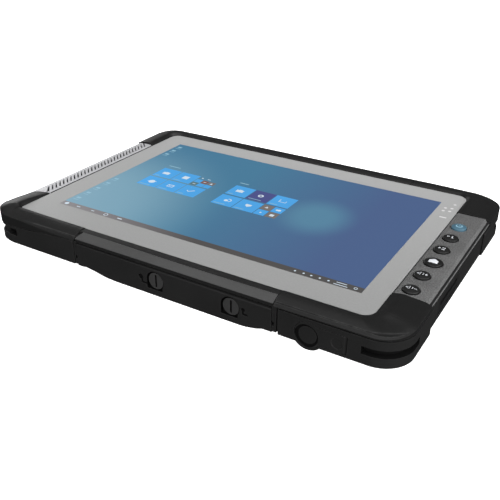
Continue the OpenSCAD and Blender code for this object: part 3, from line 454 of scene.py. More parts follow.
MATERIALS = {
    "rubber_black": moulded("rubber_black", grey(0.0082), 0.46, 0.24, grain=1700, wear=0.35),
    "case_black": moulded("case_black", grey(0.0135), 0.50, 0.18, grain=1500, grain_strength=0.45, wear=0.35),
    "trim_grey": moulded("trim_grey", grey(0.050), 0.42, 0.35, grain=1800, mottle=0.10, wear=0.4,
                         stretch=(0.25, 1.0, 1.0)),
    "glass_border": glass_material(),
    "silver_grille": moulded("silver_grille", (0.43, 0.43, 0.445), 0.40, 0.4, metallic=0.15, grain=2200,
                             mottle=0.04, wear=0.2, dust=0.02),
    "panel_grey": pebbled("panel_grey", grey(0.142), 0.52, 0.30, 700, 0.16, 1.0, 0.14),
    "key_rubber": moulded("key_rubber", grey(0.010), 0.42, 0.28, grain=2000, wear=0.3),
    "power_key": moulded("power_key", (0.062, 0.135, 0.185), 0.36, 0.4, grain=2000, mottle=0.08, wear=0.2),
    "seal_rubber": moulded("seal_rubber", grey(0.010), 0.60, 0.2, wear=0.0),
    "chassis_metal": moulded("chassis_metal", (0.42, 0.43, 0.45), 0.34, 0.5, metallic=0.9, grain=900,
                             mottle=0.06, wear=0.2, stretch=(0.2, 1, 1)),
    "display_panel": moulded("display_panel", (0.08, 0.10, 0.13), 0.25, 0.5, wear=0.0, mottle=0.05),
    "circuit_board": board_material(),
    "component_black": moulded("component_black", grey(0.020), 0.40, 0.4, wear=0.3),
    "copper": moulded("copper", (0.60, 0.27, 0.15), 0.30, 0.5, metallic=1.0, grain=700, stretch=(0.2, 1, 1)),
    "contact_gold": moulded("contact_gold", (0.70, 0.50, 0.18), 0.26, 0.5, metallic=1.0, wear=0.2),
    "steel": moulded("steel", (0.46, 0.46, 0.47), 0.30, 0.5, metallic=1.0, grain=900, wear=0.4),
    "connector_metal": moulded("connector_metal", (0.50, 0.50, 0.52), 0.28, 0.5, metallic=1.0, wear=0.3),
    "battery_case": moulded("battery_case", grey(0.018), 0.45, 0.3, wear=0.3),
    "red_seal": moulded("red_seal", (0.16, 0.018, 0.012), 0.50, 0.3, wear=0.2),
    "lens_glass": moulded("lens_glass", (0.008, 0.010, 0.020), 0.06, 0.6, wear=0.0, dust=0.01,
                          grain_strength=0.0, Coat_Weight=1.0),
    "light_guide": moulded("light_guide", (0.70, 0.73, 0.76), 0.22, 0.5, wear=0.1, mottle=0.03),
}
# Painted shade: a dull near-black finish for the inside faces of pockets, slits and grooves, and for the
# strip in the glass's gap
POCKET_PAINTED_SHADE = moulded("pocket_painted_shade", grey(0.0035), 0.70, 0.08, wear=0.0, dust=0.0)
BLOCK_RUBBER = moulded("block_rubber", grey(0.0130), 0.50, 0.20, grain=1600, wear=0.35)
KNOB_GREY = moulded("knob_grey", grey(0.034), 0.48, 0.20, grain=1500, wear=0.3)
PRINT = {"wear": 0.0, "mottle": 0.03, "dust": 0.0}
PRINT_WHITE = moulded("print_white", (0.72, 0.74, 0.78), 0.40, 0.4, grain_strength=0.1, **PRINT)
PRINT_FAINT = moulded("print_faint", (0.62, 0.62, 0.62), 0.30, 0.5, grain_strength=0.0, **PRINT)
PRINT_POWER = moulded("print_power", (0.32, 0.55, 0.68), 0.30, 0.5, grain_strength=0.0, **PRINT)
INKS = {name: screen_ink("screen_" + name, colour) for name, colour in (
    ("white", (0.62, 0.72, 0.80)), ("pale", (0.26, 0.47, 0.58)), ("blue", (0.065, 0.355, 0.760)),
    ("indigo", (0.060, 0.070, 0.230)), ("grey", (0.170, 0.150, 0.140)),
    ("brown", (0.190, 0.085, 0.070)), ("slate", (0.090, 0.180, 0.210)))}
TASKBAR = taskbar_material()


# ---- Mesh building ---------------------------------------------------------------------


def finish_piece(bm, name, material, body, stands_for=(), sharp=32):
    """Turns bm, in metres, into an object that rides on body."""
    bmesh.ops.recalc_face_normals(bm, faces=bm.faces)
    mesh = bpy.data.meshes.new(name)
    bm.to_mesh(mesh)
    bm.free()
    mesh.shade_smooth()
    mesh.set_sharp_from_angle(angle=math.radians(sharp))
    mesh.materials.append(material)
    made = bpy.data.objects.new(name, mesh)
    bpy.context.scene.collection.objects.link(made)
    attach(made, body)
    if stands_for:
        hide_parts(*stands_for)
    return made


def even_normals(piece):
    mod = piece.modifiers.new("even", "WEIGHTED_NORMAL")
    mod.keep_sharp = True
    return piece


def round_edges(bm, width, segments=2, angle=32, chosen=None):
    """Rounds the edges of bm sharper than angle, or those of them that chosen() takes."""
    limit = math.radians(angle)
    picked = [e for e in bm.edges if len(e.link_faces) == 2 and e.calc_face_angle(0) > limit
              and (chosen is None or chosen(*(v.co / MM for v in e.verts)))]
    if picked:
        bmesh.ops.bevel(bm, geom=picked, offset=width * MM, offset_type="OFFSET", segments=segments,
                        profile=0.5, affect="EDGES", clamp_overlap=True)


def cad_copy(name):
    """The mesh of a CAD node with its triangles rejoined into flat faces."""
    bm = bmesh.new()
    bm.from_mesh(NODES[name].data)
    bmesh.ops.remove_doubles(bm, verts=bm.verts, dist=1e-6)
    bmesh.ops.dissolve_limit(bm, angle_limit=math.radians(0.4), verts=bm.verts, edges=bm.edges)
    return bm


def refined(name, width, first=None, material=None, recess=None):
    """A CAD node with rounded edges, in the finish of its slot.

    Faces whose middle recess() takes get painted shade: a dull near-black finish that stands in for the shade
    inside a moulded pocket."""
    bm = cad_copy(name)
    if first:
        first(bm)
    round_edges(bm, width)
    for f in bm.faces:
        if recess and recess(f.calc_center_median() / MM):
            f.material_index = 1
    slot = SLOT_OF[name]
    piece = finish_piece(bm, name + "_moulding", material or MATERIALS[slot], BODY_OF[name], (name,))
    if recess:
        piece.data.materials.append(POCKET_PAINTED_SHADE)
    return even_normals(piece)


def loft(rings):
    """A closed solid through rings of points, in millimetres."""
    bm = bmesh.new()
    rows = [[bm.verts.new(Vector(p) * MM) for p in ring] for ring in rings]
    n = len(rows[0])
    for a, b in zip(rows, rows[1:]):
        for j in range(n):
            bm.faces.new((a[j], b[j], b[(j + 1) % n], a[(j + 1) % n]))
    bm.faces.new(rows[0])
    bm.faces.new(rows[-1][::-1])
    return bm


# ---- The rim: bumpers and rails --------------------------------------------------------

# Heights over the glass of the rim's top at the fractions ACROSS of its width, from the
# glass outwards, at places t round the tablet
ACROSS = (0, 0.12, 0.28, 0.5, 0.72, 0.88, 1)
SECTIONS = [
    (0.00, (0.5, 1.3, 1.5, 0.8, 0.0, -0.6, -1.0)),
    (0.08, (0.4, 1.0, 1.2, 0.4, -0.6, -1.5, -2.1)),
    (0.16, (0.3, 0.8, 1.0, 0.5, -0.6, -1.9, -3.3)),
    (0.86, (0.3, 0.8, 1.0, 0.5, -0.6, -1.9, -3.3)),
    (0.95, (0.2, 0.7, 0.9, 0.5, -0.5, -1.6, -3.0)),
    (1.12, (0.1, 0.4, 0.4, -0.1, -0.9, -1.8, -3.1)),
    (1.40, (0.1, 0.1, -0.1, -0.6, -1.1, -1.7, -2.8)),
    (1.70, (0.1, 0.2, 0.1, -0.2, -0.6, -1.1, -2.1)),
    (1.90, (0.1, 0.7, 1.2, 0.8, 0.4, 0.1, -1.0)),
    (2.00, (0.1, 0.9, 1.7, 1.3, 0.7, 0.2, -0.8)),
    (2.16, (0.1, 0.6, 1.1, 0.8, 0.5, 0.0, -1.0)),
    (2.84, (0.1, 0.7, 0.9, 0.8, 0.6, 0.2, -0.6)),
    (2.95, (0.1, 1.6, 1.8, 1.3, 0.6, 0.0, -0.9)),
    (3.10, (0.1, 2.1, 2.2, 1.5, 0.5, -0.4, -1.2)),
    (3.60, (0.1, 2.2, 2.3, 1.6, 0.5, -0.4, -1.3)),
    (3.95, (0.1, 1.7, 2.0, 1.6, 0.7, 0.0, -0.8)),
    (4.12, (0.1, 1.0, 1.5, 1.5, 1.2, 0.6, -0.9)),
    (4.90, (0.1, 1.0, 1.5, 1.5, 1.2, 0.6, -0.9)),
    (5.05, (0.1, 1.6, 2.1, 1.9, 1.2, 0.5, -0.5)),
    (5.50, (0.1, 2.5, 3.0, 2.6, 1.9, 1.2, 0.3)),
    (5.90, (0.1, 2.6, 2.9, 2.4, 1.7, 1.0, 0.2)),
    (6.15, (0.1, 2.1, 2.3, 1.9, 1.3, 0.7, -0.1)),
    (6.19, (0.1, 0.5, 0.6, 0.5, 0.2, -0.3, -1.0)),
    (6.86, (0.1, 0.4, 0.5, 0.5, 0.2, -0.4, -1.1)),
    (6.94, (0.1, 1.9, 2.2, 2.0, 1.4, 0.7, -0.1)),
    (7.05, (0.1, 2.6, 3.0, 2.6, 1.9, 1.2, 0.4)),
    (7.40, (0.1, 2.7, 3.05, 2.7, 2.0, 1.3, 0.5)),
    (7.54, (0.4, 2.2, 2.5, 2.3, 1.8, 1.1, 0.1)),
    (7.70, (0.5, 1.9, 2.0, 1.7, 1.0, 0.3, -0.6))]
# The front left bumper runs on past 8, where the tablet's front side starts again at 0
SECTIONS += [(t + 8, heights) for t, heights in SECTIONS[:3]]
COLUMNS = [[(t, row[i]) for t, row in SECTIONS] for i in range(len(ACROSS))]
# How far the rim laps over the glass, and how low its skirt reaches
LAP = [(0, 0.3), (0.1, 0), (6.9, 0), (7.1, 0.5), (7.5, 1.0), (7.8, 0.6), (8, 0.3), (8.1, 0)]
SKIRT = [(6.86, 17.6), (7.1, 16.2), (7.9, 15.8), (8.03, 15.9), (8.07, 16.6), (8.17, 19.2), (8.22, SKIRT_Z)]


def outline(box, r, t):
    """A point on a rounded rectangle; t counts sides and corners from the front left.

    r holds the radii of the front right, back right, back left and front left corners."""
    k, f = int(math.floor(t)) % 8, t - math.floor(t)
    if k % 2 == 0:
        a, b = r[k // 2 - 1], r[k // 2]
        return {0: Vector((mix(box[0] + a, box[1] - b, f), box[2])),
                2: Vector((box[1], mix(box[2] + a, box[3] - b, f))),
                4: Vector((mix(box[1] - a, box[0] + b, f), box[3])),
                6: Vector((box[0], mix(box[3] - a, box[2] + b, f)))}[k]
    q = r[k // 2]
    centre = {1: (box[1] - q, box[2] + q), 3: (box[1] - q, box[3] - q),
              5: (box[0] + q, box[3] - q), 7: (box[0] + q, box[2] + q)}[k]
    a = math.radians(90 * f + 90 * (k // 2) - 90)
    return Vector((centre[0] + q * math.cos(a), centre[1] + q * math.sin(a)))


def glass_edge(t):
    """The point of the glass edge that faces the outer edge at t."""
    k = int(math.floor(t)) % 8
    if k not in (0, 4):
        return outline(GLASS_BOX, GLASS_R, t)
    x = outline(OUTER_BOX, OUTER_R, t).x
    left, right = (3, 0) if k == 0 else (2, 1)
    x = lookup(x, [(OUTER_BOX[0] + OUTER_R[left], GLASS_BOX[0] + GLASS_R[left]), (-DRIFT_X, -DRIFT_X),
                   (DRIFT_X, DRIFT_X), (OUTER_BOX[1] - OUTER_R[right], GLASS_BOX[1] - GLASS_R[right])])
    return Vector((x, GLASS_BOX[2] if k == 0 else GLASS_BOX[3]))


def t_front(x):
    start = OUTER_BOX[0] + OUTER_R[3]
    return (x - start) / (OUTER_BOX[1] - OUTER_R[0] - start)


def t_back(x):
    start = OUTER_BOX[1] - OUTER_R[1]
    return 4 + (start - x) / (start - OUTER_BOX[0] - OUTER_R[2])


def t_left(y):
    start = OUTER_BOX[3] - OUTER_R[2]
    return 6 + (start - y) / (start - OUTER_BOX[2] - OUTER_R[3])


def t_right(y):
    start = OUTER_BOX[2] + OUTER_R[0]
    return 2 + (y - start) / (OUTER_BOX[3] - OUTER_R[1] - start)


def t_of(x, y):
    """The place round the tablet nearest to (x, y), for points on the front left corner."""
    cx, cy = OUTER_BOX[0] + OUTER_R[3], OUTER_BOX[2] + OUTER_R[3]
    if x > cx:
        return 8 + t_front(x)
    if y > cy:
        return t_left(y)
    return 7 + math.atan2(cy - y, max(cx - x, 0.001)) / (math.pi / 2)


def curve(points, n):
    """A smooth line through points with n steps between each two."""
    out = []
    for i in range(len(points) - 1):
        p0, p1, p2, p3 = (points[max(0, min(len(points) - 1, i + k))] for k in (-1, 0, 1, 2))
        for j in range(n):
            f = j / n
            out.append(tuple(
                b + 0.5 * f * (c - a + f * (2 * a - 5 * b + 4 * c - d + f * (3 * (b - c) + d - a)))
                for a, b, c, d in zip(p0, p1, p2, p3)))
    return out + [points[-1]]


def rim_top(t, width):
    """The top of a rim section: (distance from the glass, height over it)."""
    heights = [eased(t, column, 0.09 if 0.86 < t < 2 else 0.02) for column in COLUMNS]
    start = LAP_GAP - eased(t, LAP)
    points = [(mix(start, width, s), h) for s, h in zip(ACROSS, heights)]
    return curve(points, 4)


def skirt(t):
    """The lower edge of the rim; only the front left corner reaches below SKIRT_Z."""
    return eased(t, SKIRT) if t > SKIRT[0][0] - 0.01 else SKIRT_Z


GRILLE_END = t_left(GRILLE_Y[0] - RIM_JOINT)


def slanted(p, t):
    """The front end of the grille: its cut runs forward towards the outside."""
    reach = max(0.0, min(1.0, (GLASS_BOX[0] - p[0]) / (GLASS_BOX[0] - OUTER_BOX[0])))
    near = lookup(t, [(GRILLE_END, 1.0), (7.0, 0.0)])
    return (p[0], p[1] - GRILLE_SLANT * reach * near, p[2])


def rim_ring(t):
    return [slanted(p, t) for p in rim_section(t)] if 6.5 < t < 7 else rim_section(t)


def rim_section(t):
    g, o = glass_edge(t), outline(OUTER_BOX, OUTER_R, t)
    width = (o - g).length
    u = (o - g) / width
    s, i = outline(BODY_BOX, BODY_R, t) + FIT * u, g + FIT * u
    ring = []
    top = rim_top(t, width)
    for d, h in top:
        p = g + u * d
        ring.append((p.x, p.y, GLASS_TOP + h))
    lap = g + u * top[0][0]
    low = skirt(t)
    return ring + [(o.x, o.y, low), (s.x, s.y, low), (s.x, s.y, CASE_TOP + 0.01),
                   (i.x, i.y, CASE_TOP + 0.01), (i.x, i.y, GLASS_TOP + 0.02),
                   (lap.x, lap.y, GLASS_TOP + 0.02)]


def rim_piece(name, places):
    bm = loft([rim_ring(t) for t in places])
    round_edges(bm, RIM_EDGE, 2, 38)
    return even_normals(finish_piece(bm, name + "_moulding", MATERIALS["rubber_black"], ROOT,
                                     (name,), sharp=40))


def corner_places(t0, corner, t1):
    return steps(t0, corner, 14) + steps(corner, corner + 1, 44)[1:-1] + steps(corner + 1, t1, 16)


def build_rim():
    rim_piece("bumper_front_left", corner_places(t_left(GRILLE_Y[0] - RIM_JOINT), 7, 8 + t_front(RIM_LEFT)))
    rim_piece("bumper_front_right", corner_places(t_front(RIM_RIGHT), 1, t_right(PANEL_Y[0] - RIM_JOINT)))
    rim_piece("bumper_back_right", corner_places(t_right(PANEL_Y[1] + RIM_JOINT), 3, t_back(BACK_SEAM)))
    rim_piece("bumper_back_left", corner_places(t_back(RIM_LEFT), 5, t_left(GRILLE_Y[1] + RIM_JOINT)))
    rim_piece("back_rail", steps(t_back(BACK_SEAM - RIM_JOINT), t_back(RIM_LEFT + RIM_JOINT), 30))


# ---- Glass and picture -----------------------------------------------------------------


def rounded_outline(box, r, inset, z, n=10):
    ring = []
    shrunk = (box[0] + inset, box[1] - inset, box[2] + inset, box[3] - inset)
    for corner in (1, 3, 5, 7):
        for i in range(n + 1):
            radii = [max(q - inset, 0.05) for q in r]
            p = outline(shrunk, radii, corner + min(i / n, 0.9999))
            ring.append((p.x, p.y, z))
    return ring


def build_glass():
    profile = ((0, GLASS_T), (0, GLASS_EDGE), (GLASS_EDGE * 0.3, GLASS_EDGE * 0.3), (GLASS_EDGE, 0))
    rings = [rounded_outline(GLASS_BOX, GLASS_R, inward, GLASS_TOP - down) for inward, down in profile]
    piece = finish_piece(loft(rings), "touch_glass_sheet", MATERIALS["glass_border"], ROOT,
                         ("touch_glass",), sharp=50)
    return even_normals(piece)


def build_edge_seal():
    """A dark strip that closes the gap between the glass and the grille; its near-black finish is painted
    shade, so that the gap reads as shaded.
    """
    bm = bmesh.new()
    low = Vector((GLASS_BOX[0] - SEAL_W, GRILLE_Y[0], CASE_TOP + 0.02))
    high = Vector((GLASS_BOX[0] - 0.1, GRILLE_Y[1], GLASS_TOP - 0.05))
    bmesh.ops.create_cube(bm, size=1)
    for v in bm.verts:
        v.co = Vector(high[i] if v.co[i] > 0 else low[i] for i in range(3)) * MM
    round_edges(bm, 0.15)
    finish_piece(bm, "glass_edge_seal", POCKET_PAINTED_SHADE, ROOT)


def rect(x0, y0, x1, y1):
    return [[(x0, y0), (x1, y0), (x1, y1), (x0, y1)]]


def arc(cx, cy, r0, r1, a0=0.0, a1=360.0, n=24):
    """A ring or part of one, as quads; r0 of 0 gives a disc."""
    quads = []
    for i in range(n):
        a, b = (math.radians(mix(a0, a1, k / n)) for k in (i, i + 1))
        outer = [(cx + r1 * math.cos(t), cy + r1 * math.sin(t)) for t in (a, b)]
        if r0 <= 0:
            quads.append([(cx, cy), outer[0], outer[1]])
        else:
            inner = [(cx + r0 * math.cos(t), cy + r0 * math.sin(t)) for t in (b, a)]
            quads.append(outer + inner)
    return quads


def stroke(points, w):
    """A line of width w through points."""
    quads, sides = [], []
    for i, p in enumerate(points):
        a, b = points[max(i - 1, 0)], points[min(i + 1, len(points) - 1)]
        d = Vector((b[0] - a[0], b[1] - a[1])).normalized() * (w / 2)
        sides.append(((p[0] - d.y, p[1] + d.x), (p[0] + d.y, p[1] - d.x)))
    for (a, b), (c, d) in zip(sides, sides[1:]):
        quads.append([b, d, c, a])
    return quads


def turned(shapes, angle, dx=0.0, dy=0.0):
    c, s = math.cos(math.radians(angle)), math.sin(math.radians(angle))
    return [[(x * c - y * s + dx, x * s + y * c + dy) for x, y in shape] for shape in shapes]


def print_mark(name, shapes, top, thickness, material, body, cut=0.0):
    """Thin marks laid on a surface whose height at (x, y) is top(x, y), in millimetres."""
    bm = bmesh.new()
    for shape in shapes:
        bm.faces.new([bm.verts.new((x, y, 0)) for x, y in shape])
    bmesh.ops.remove_doubles(bm, verts=bm.verts, dist=0.004)
    bmesh.ops.recalc_face_normals(bm, faces=bm.faces)
    bmesh.ops.triangulate(bm, faces=bm.faces)
    for _ in range(4 if cut else 0):
        long = [e for e in bm.edges if e.calc_length() > cut]
        if long:
            bmesh.ops.subdivide_edges(bm, edges=long, cuts=1)
            bmesh.ops.triangulate(bm, faces=bm.faces)
    flat = [(v.co.x, v.co.y) for v in bm.verts]
    bm.verts.index_update()
    faces = [[v.index for v in f.verts] for f in bm.faces]
    open_loops = [e.link_loops[0] for e in bm.edges if len(e.link_faces) == 1]
    rim = [(loop.vert.index, loop.link_loop_next.vert.index) for loop in open_loops]
    bm.free()
    out = bmesh.new()
    high = [out.verts.new(Vector((x, y, top(x, y) + thickness)) * MM) for x, y in flat]
    low = [out.verts.new(Vector((x, y, top(x, y) - thickness)) * MM) for x, y in flat]
    for f in faces:
        out.faces.new([high[i] for i in f])
        out.faces.new([low[i] for i in reversed(f)])
    for a, b in rim:
        out.faces.new((high[b], high[a], low[a], low[b]))
    return finish_piece(out, name, material, body)


def glass_level(x, y):
    return GLASS_TOP


def screen_mark(name, shapes, material, layer=1):
    """Picture elements given from the front left corner of the lit area."""
    placed = turned(shapes, 0, LIT_BOX[0], LIT_BOX[2])
    return print_mark(name, placed, glass_level, 0.008 * layer, material, ROOT)


TILE = 16.0
PITCH = 16.6
SMALL = 7.8
SMALL_PITCH = 8.3
TINY = 5.1
TINY_PITCH = 5.6
ROWS = (54.2, 71.9)
GROUPS = (21.0, 84.4)
TASK_H = 5.2


def square(x, y, size):
    return rect(x, y, x + size, y + size)


def build_tiles():
    blue, small = [], {"grey": [], "brown": [], "slate": []}
    for column in range(3):
        blue += square(GROUPS[0] + column * PITCH, ROWS[0], TILE)
    for column in range(2):
        blue += square(GROUPS[0] + column * PITCH, ROWS[1], TILE)
        blue += square(GROUPS[1] + column * PITCH, ROWS[0], TILE)
    for column in (0, 2):
        blue += square(GROUPS[1] + column * PITCH, ROWS[1], TILE)
    tiny_x = GROUPS[0] + 2 * PITCH
    tiny = {(0, 0): "slate", (1, 0): "blue", (2, 0): "blue", (0, 1): "blue", (1, 1): "brown", (2, 1): "grey"}
    for (column, row), colour in tiny.items():
        spot = square(tiny_x + column * TINY_PITCH, ROWS[1] + row * TINY_PITCH, TINY)
        if colour == "blue":
            blue += spot
        else:
            small[colour] += spot
    small_x = GROUPS[1] + 2 * PITCH
    blue += square(small_x, ROWS[0], SMALL) + square(small_x + SMALL_PITCH, ROWS[0] + SMALL_PITCH, SMALL)
    small["grey"] += square(small_x, ROWS[0] + SMALL_PITCH, SMALL)
    small["grey"] += square(small_x + SMALL_PITCH, ROWS[0], SMALL)
    screen_mark("screen_tiles_blue", blue, INKS["blue"])
    screen_mark("screen_tile_indigo", square(GROUPS[1] + PITCH, ROWS[1], TILE), INKS["indigo"])
    screen_mark("screen_tiles_grey", small["grey"], INKS["grey"])
    screen_mark("screen_tile_brown", small["brown"], INKS["brown"])
    screen_mark("screen_tile_slate", small["slate"], INKS["slate"])


def glyphs(x, y, kind, s=1.0):
    """Plain pictograms about 5 mm across, centred on (x, y)."""
    made = {
        "globe": arc(0, 0, 0, 2.5) + stroke([(-3.4, -0.6), (0, 0.5), (3.4, 1.2)], 0.5),
        "letter": rect(-2.6, -1.9, 2.6, -1.3) + rect(-2.6, 1.3, 2.6, 1.9) + rect(-2.6, -1.3, -2.0, 1.3)
        + rect(2.0, -1.3, 2.6, 1.3) + stroke([(-2.0, 1.2), (0, -0.4), (2.0, 1.2)], 0.5),
        "tick": stroke([(-2.4, 0.2), (-0.8, -1.4), (2.8, 1.8)], 0.9),
        "camera": rect(-2.8, -1.9, 2.8, 1.6) + rect(-1.0, 1.6, 1.2, 2.2),
        "page": rect(-2.4, -2.4, 2.4, 2.4),
        "cloud": arc(-1.2, 0, 0, 1.6, n=16) + arc(1.2, 0.3, 0, 2.0, n=16),
        "leaf": arc(-0.8, -0.4, 0, 1.5, n=16) + arc(0.6, 0.3, 1.7, 2.4, -70, 120, 16),
        "shield": [[(-2.2, 1.6), (-2.2, -0.4), (0, -2.4), (2.2, -0.4), (2.2, 1.6)]],
        "ring": arc(0, 0, 1.0, 2.1, n=20),
        "frame": stroke([(-2.6, 1.8), (-2.6, -1.8), (2.4, -1.8), (2.4, 0.6)], 0.6),
        "dot": arc(0, 0, 0, 1.2, n=14),
        "bar": rect(-2.0, -0.6, 2.0, 0.6),
        "person": arc(0, 0.7, 0, 1.0, n=14) + rect(-1.8, -1.8, 1.8, -0.4),
    }[kind]
    return turned([[(px * s, py * s) for px, py in q] for q in made], 0, x, y)


def build_icons():
    marks = []
    for x, y, kind in ((28.8, 62.0, "globe"), (45.2, 62.3, "letter"), (62.0, 62.3, "tick"),
                       (28.4, 79.7, "camera"), (45.6, 80.2, "page"), (92.7, 62.5, "leaf"),
                       (109.0, 62.9, "shield"), (91.8, 80.1, "camera"), (108.4, 80.5, "ring"),
                       (125.7, 80.9, "frame")):
        marks += glyphs(x, y, kind)
    for x, y, kind in ((121.2, 66.6, "person"), (129.8, 66.4, "cloud"), (121.4, 57.8, "dot"),
                       (129.9, 57.7, "page")):
        marks += glyphs(x, y, kind, 0.62)
    tiny_x = GROUPS[0] + 2 * PITCH + TINY / 2
    for column, row, kind in ((0, 0, "bar"), (1, 1, "bar"), (2, 1, "person"), (0, 2, "dot"), (1, 2, "bar")):
        marks += glyphs(tiny_x + column * TINY_PITCH, ROWS[1] + row * TINY_PITCH + TINY / 2, kind, 0.6)
    screen_mark("screen_icons", marks, INKS["white"], 2)
    # plain bars where a caption would stand
    captions = []
    for group, row, widths in ((0, 0, (9, 7.5, 5)), (0, 1, (4, 6)), (1, 0, (9, 7)), (1, 1, (4, 10, 6))):
        for column, width in enumerate(widths):
            x = GROUPS[group] + column * PITCH + 1.4
            captions += rect(x, ROWS[row] + 1.5, x + width, ROWS[row] + 2.2)
    for x, width in ((21.2, 10.2), (84.2, 7.1)):
        captions += rect(x, 92.4, x + width, 93.4)
    screen_mark("screen_captions", captions, INKS["pale"], 2)


def build_desktop():
    icons = []
    for y in (12.2, 21.9, 31.5, 41.8, 50.8, 110.5, 119.3, 127.7):
        icons += rect(2.6, y + 0.4, 6.0, y + 2.6) + rect(2.2, y - 1.8, 6.6, y - 1.2)
    screen_mark("screen_shortcuts", icons, INKS["pale"])
    screen_mark("screen_taskbar", rect(0, 0, 217, TASK_H), TASKBAR)
    tray = glyphs(4.0, 2.7, "dot", 1.3) + glyphs(14.5, 2.6, "bar", 0.7) + glyphs(27.0, 2.6, "bar", 0.6)
    tray += arc(38.1, 2.7, 1.1, 1.6, n=18) + glyphs(49.7, 2.6, "bar", 0.9)
    for x in (176.2, 181.6, 186.3, 191.5, 196.7):
        tray += glyphs(x, 2.6, "dot", 0.55)
    tray += rect(201.0, 3.4, 207.1, 4.0) + rect(200.1, 1.2, 208.2, 1.8) + arc(212.6, 2.7, 0.7, 1.1, n=16)
    screen_mark("screen_taskbar_marks", tray, INKS["white"], 2)


def build_indicators():
    """Small light marks on the glass beside the picture."""
    marks = []
    for x, y in ((222, 128), (222, 123), (226, 136), (226, 129), (226, 124)):
        marks += arc(x, y, 0, 1.05, n=16)
    marks += rect(222.6, 112.3, 227.2, 113.8)
    placed = turned(marks, 0, LIT_BOX[0], LIT_BOX[2])
    print_mark("indicator_marks", placed, glass_level, 0.008, PRINT_FAINT, ROOT)


def bumper_level(x, y):
    """The height of the rim's top on the right side."""
    g = GLASS_BOX[1]
    top = rim_top(t_right(y), OUTER_BOX[1] - g)
    return GLASS_TOP + lookup(x - g, top)


def build_bumper_hole_shade():
    """A small dull dark dot on the back right bumper: painted shade that stands in for a small hole in it."""
    print_mark("bumper_hole_shade", arc(*MARK_PLACE, 0, 0.8, n=16), bumper_level, 0.02, MATERIALS["seal_rubber"],
               ROOT)


# ---- Keys ------------------------------------------------------------------------------


def key_spot(name):
    low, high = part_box(name)
    return (low.x + high.x) / 2 / MM, (low.y + high.y) / 2 / MM


def key_radius(name):
    low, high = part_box(name)
    return (high.x - low.x) / 2 / MM - KEY_FLANGE - KEY_EASE


def dome_height(name):
    cx, cy = key_spot(name)
    r = key_radius(name)
    ball = (r * r + KEY_SAG * KEY_SAG) / (2 * KEY_SAG)

    def height(x, y):
        return KEY_TOP - ball + math.sqrt(max(ball * ball - (x - cx) ** 2 - (y - cy) ** 2, 0))
    return height


def lathe(profile, centre, n=48):
    """Turns (radius, height) points about an upright axis at centre; ends on the axis."""
    bm = bmesh.new()
    rows = []
    for r, z in profile:
        if r <= 0:
            rows.append([bm.verts.new(Vector((*centre, z)) * MM)])
        else:
            rows.append([bm.verts.new(Vector((centre[0] + r * math.cos(2 * math.pi * i / n),
                                              centre[1] + r * math.sin(2 * math.pi * i / n), z)) * MM)
                         for i in range(n)])
    for a, b in zip(rows, rows[1:]):
        for i in range(n):
            k = (i + 1) % n
            quad = [a[i % len(a)], a[k % len(a)], b[k % len(b)], b[i % len(b)]]
            corners = list(dict.fromkeys(quad))
            if len(corners) > 2:
                bm.faces.new(corners)
    return bm


def build_key(name):
    low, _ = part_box(name)
    spot, r = key_spot(name), key_radius(name)
    height = dome_height(name)
    flat_r = r - KEY_TURN
    profile = [(0, KEY_TOP)]
    profile += [(x, height(spot[0] + x, spot[1])) for x in steps(0, flat_r, 8)[1:]]
    brim = profile[-1][1] - KEY_TURN
    for a in (25, 50, 75, 90):
        turn = math.radians(a)
        profile.append((flat_r + KEY_TURN * math.sin(turn), brim + KEY_TURN * math.cos(turn)))
    foot = low.z / MM
    profile += [(r, CASE_TOP + 0.5), (r + KEY_FLANGE, CASE_TOP + 0.5), (r + KEY_FLANGE, CASE_TOP - 0.4),
                (1.6, CASE_TOP - 0.4), (1.6, foot), (0, foot)]
    slot = SLOT_OF[name]
    piece = finish_piece(lathe(profile, spot), name + "_cap", MATERIALS[slot], BODY_OF[name],
                         (name,), 40)
    return even_normals(piece)


def key_marks():
    house = [[(-2.6, -2.2), (2.6, -2.2), (2.6, 0.7), (0, 2.7), (-2.6, 0.7)]]
    horn = [(-2.3, 0.5), (-1.0, 1.4), (-1.0, -1.4), (-2.3, -0.5)]
    speaker = rect(-2.9, -0.5, -2.3, 0.5) + stroke(horn, 0.32)
    waves = arc(-0.6, 0, 1.15, 1.45, -45, 45, 8)
    plus = rect(1.5, -0.18, 3.1, 0.18) + rect(2.12, 0.19, 2.48, 0.8) + rect(2.12, -0.8, 2.48, -0.19)
    minus = rect(1.5, -0.18, 3.1, 0.18)
    dot = arc(-1.5, 0, 0.35, 0.75, n=14)
    one = stroke([(0.2, 0.8), (1.0, 1.3), (1.0, -1.2)], 0.36) + rect(0.3, -1.5, 1.8, -1.2)
    two = arc(1.0, 0.5, 0.6, 0.95, -20, 180, 12) + stroke([(1.75, 0.25), (0.3, -1.2)], 0.34)
    two += rect(0.1, -1.5, 2.0, -1.2)
    power = arc(0, 0, 1.55, 2.05, -235, 55, 30) + rect(-0.25, 0.4, 0.25, 2.5)
    return {"key_power": power, "key_user_one": dot + one, "key_user_two": dot + two, "key_home": house,
            "key_volume_up": speaker + waves + plus, "key_volume_down": speaker + waves + minus}


def build_keys():
    for name, shapes in key_marks().items():
        build_key(name)
        x, y = key_spot(name)
        material = PRINT_POWER if name == "key_power" else PRINT_WHITE
        print_mark(name + "_mark", turned(shapes, 0, x, y), dome_height(name), 0.02, material,
                   BODY_OF[name], 0.9)


# ---- CAD nodes with rounded edges ------------------------------------------------------


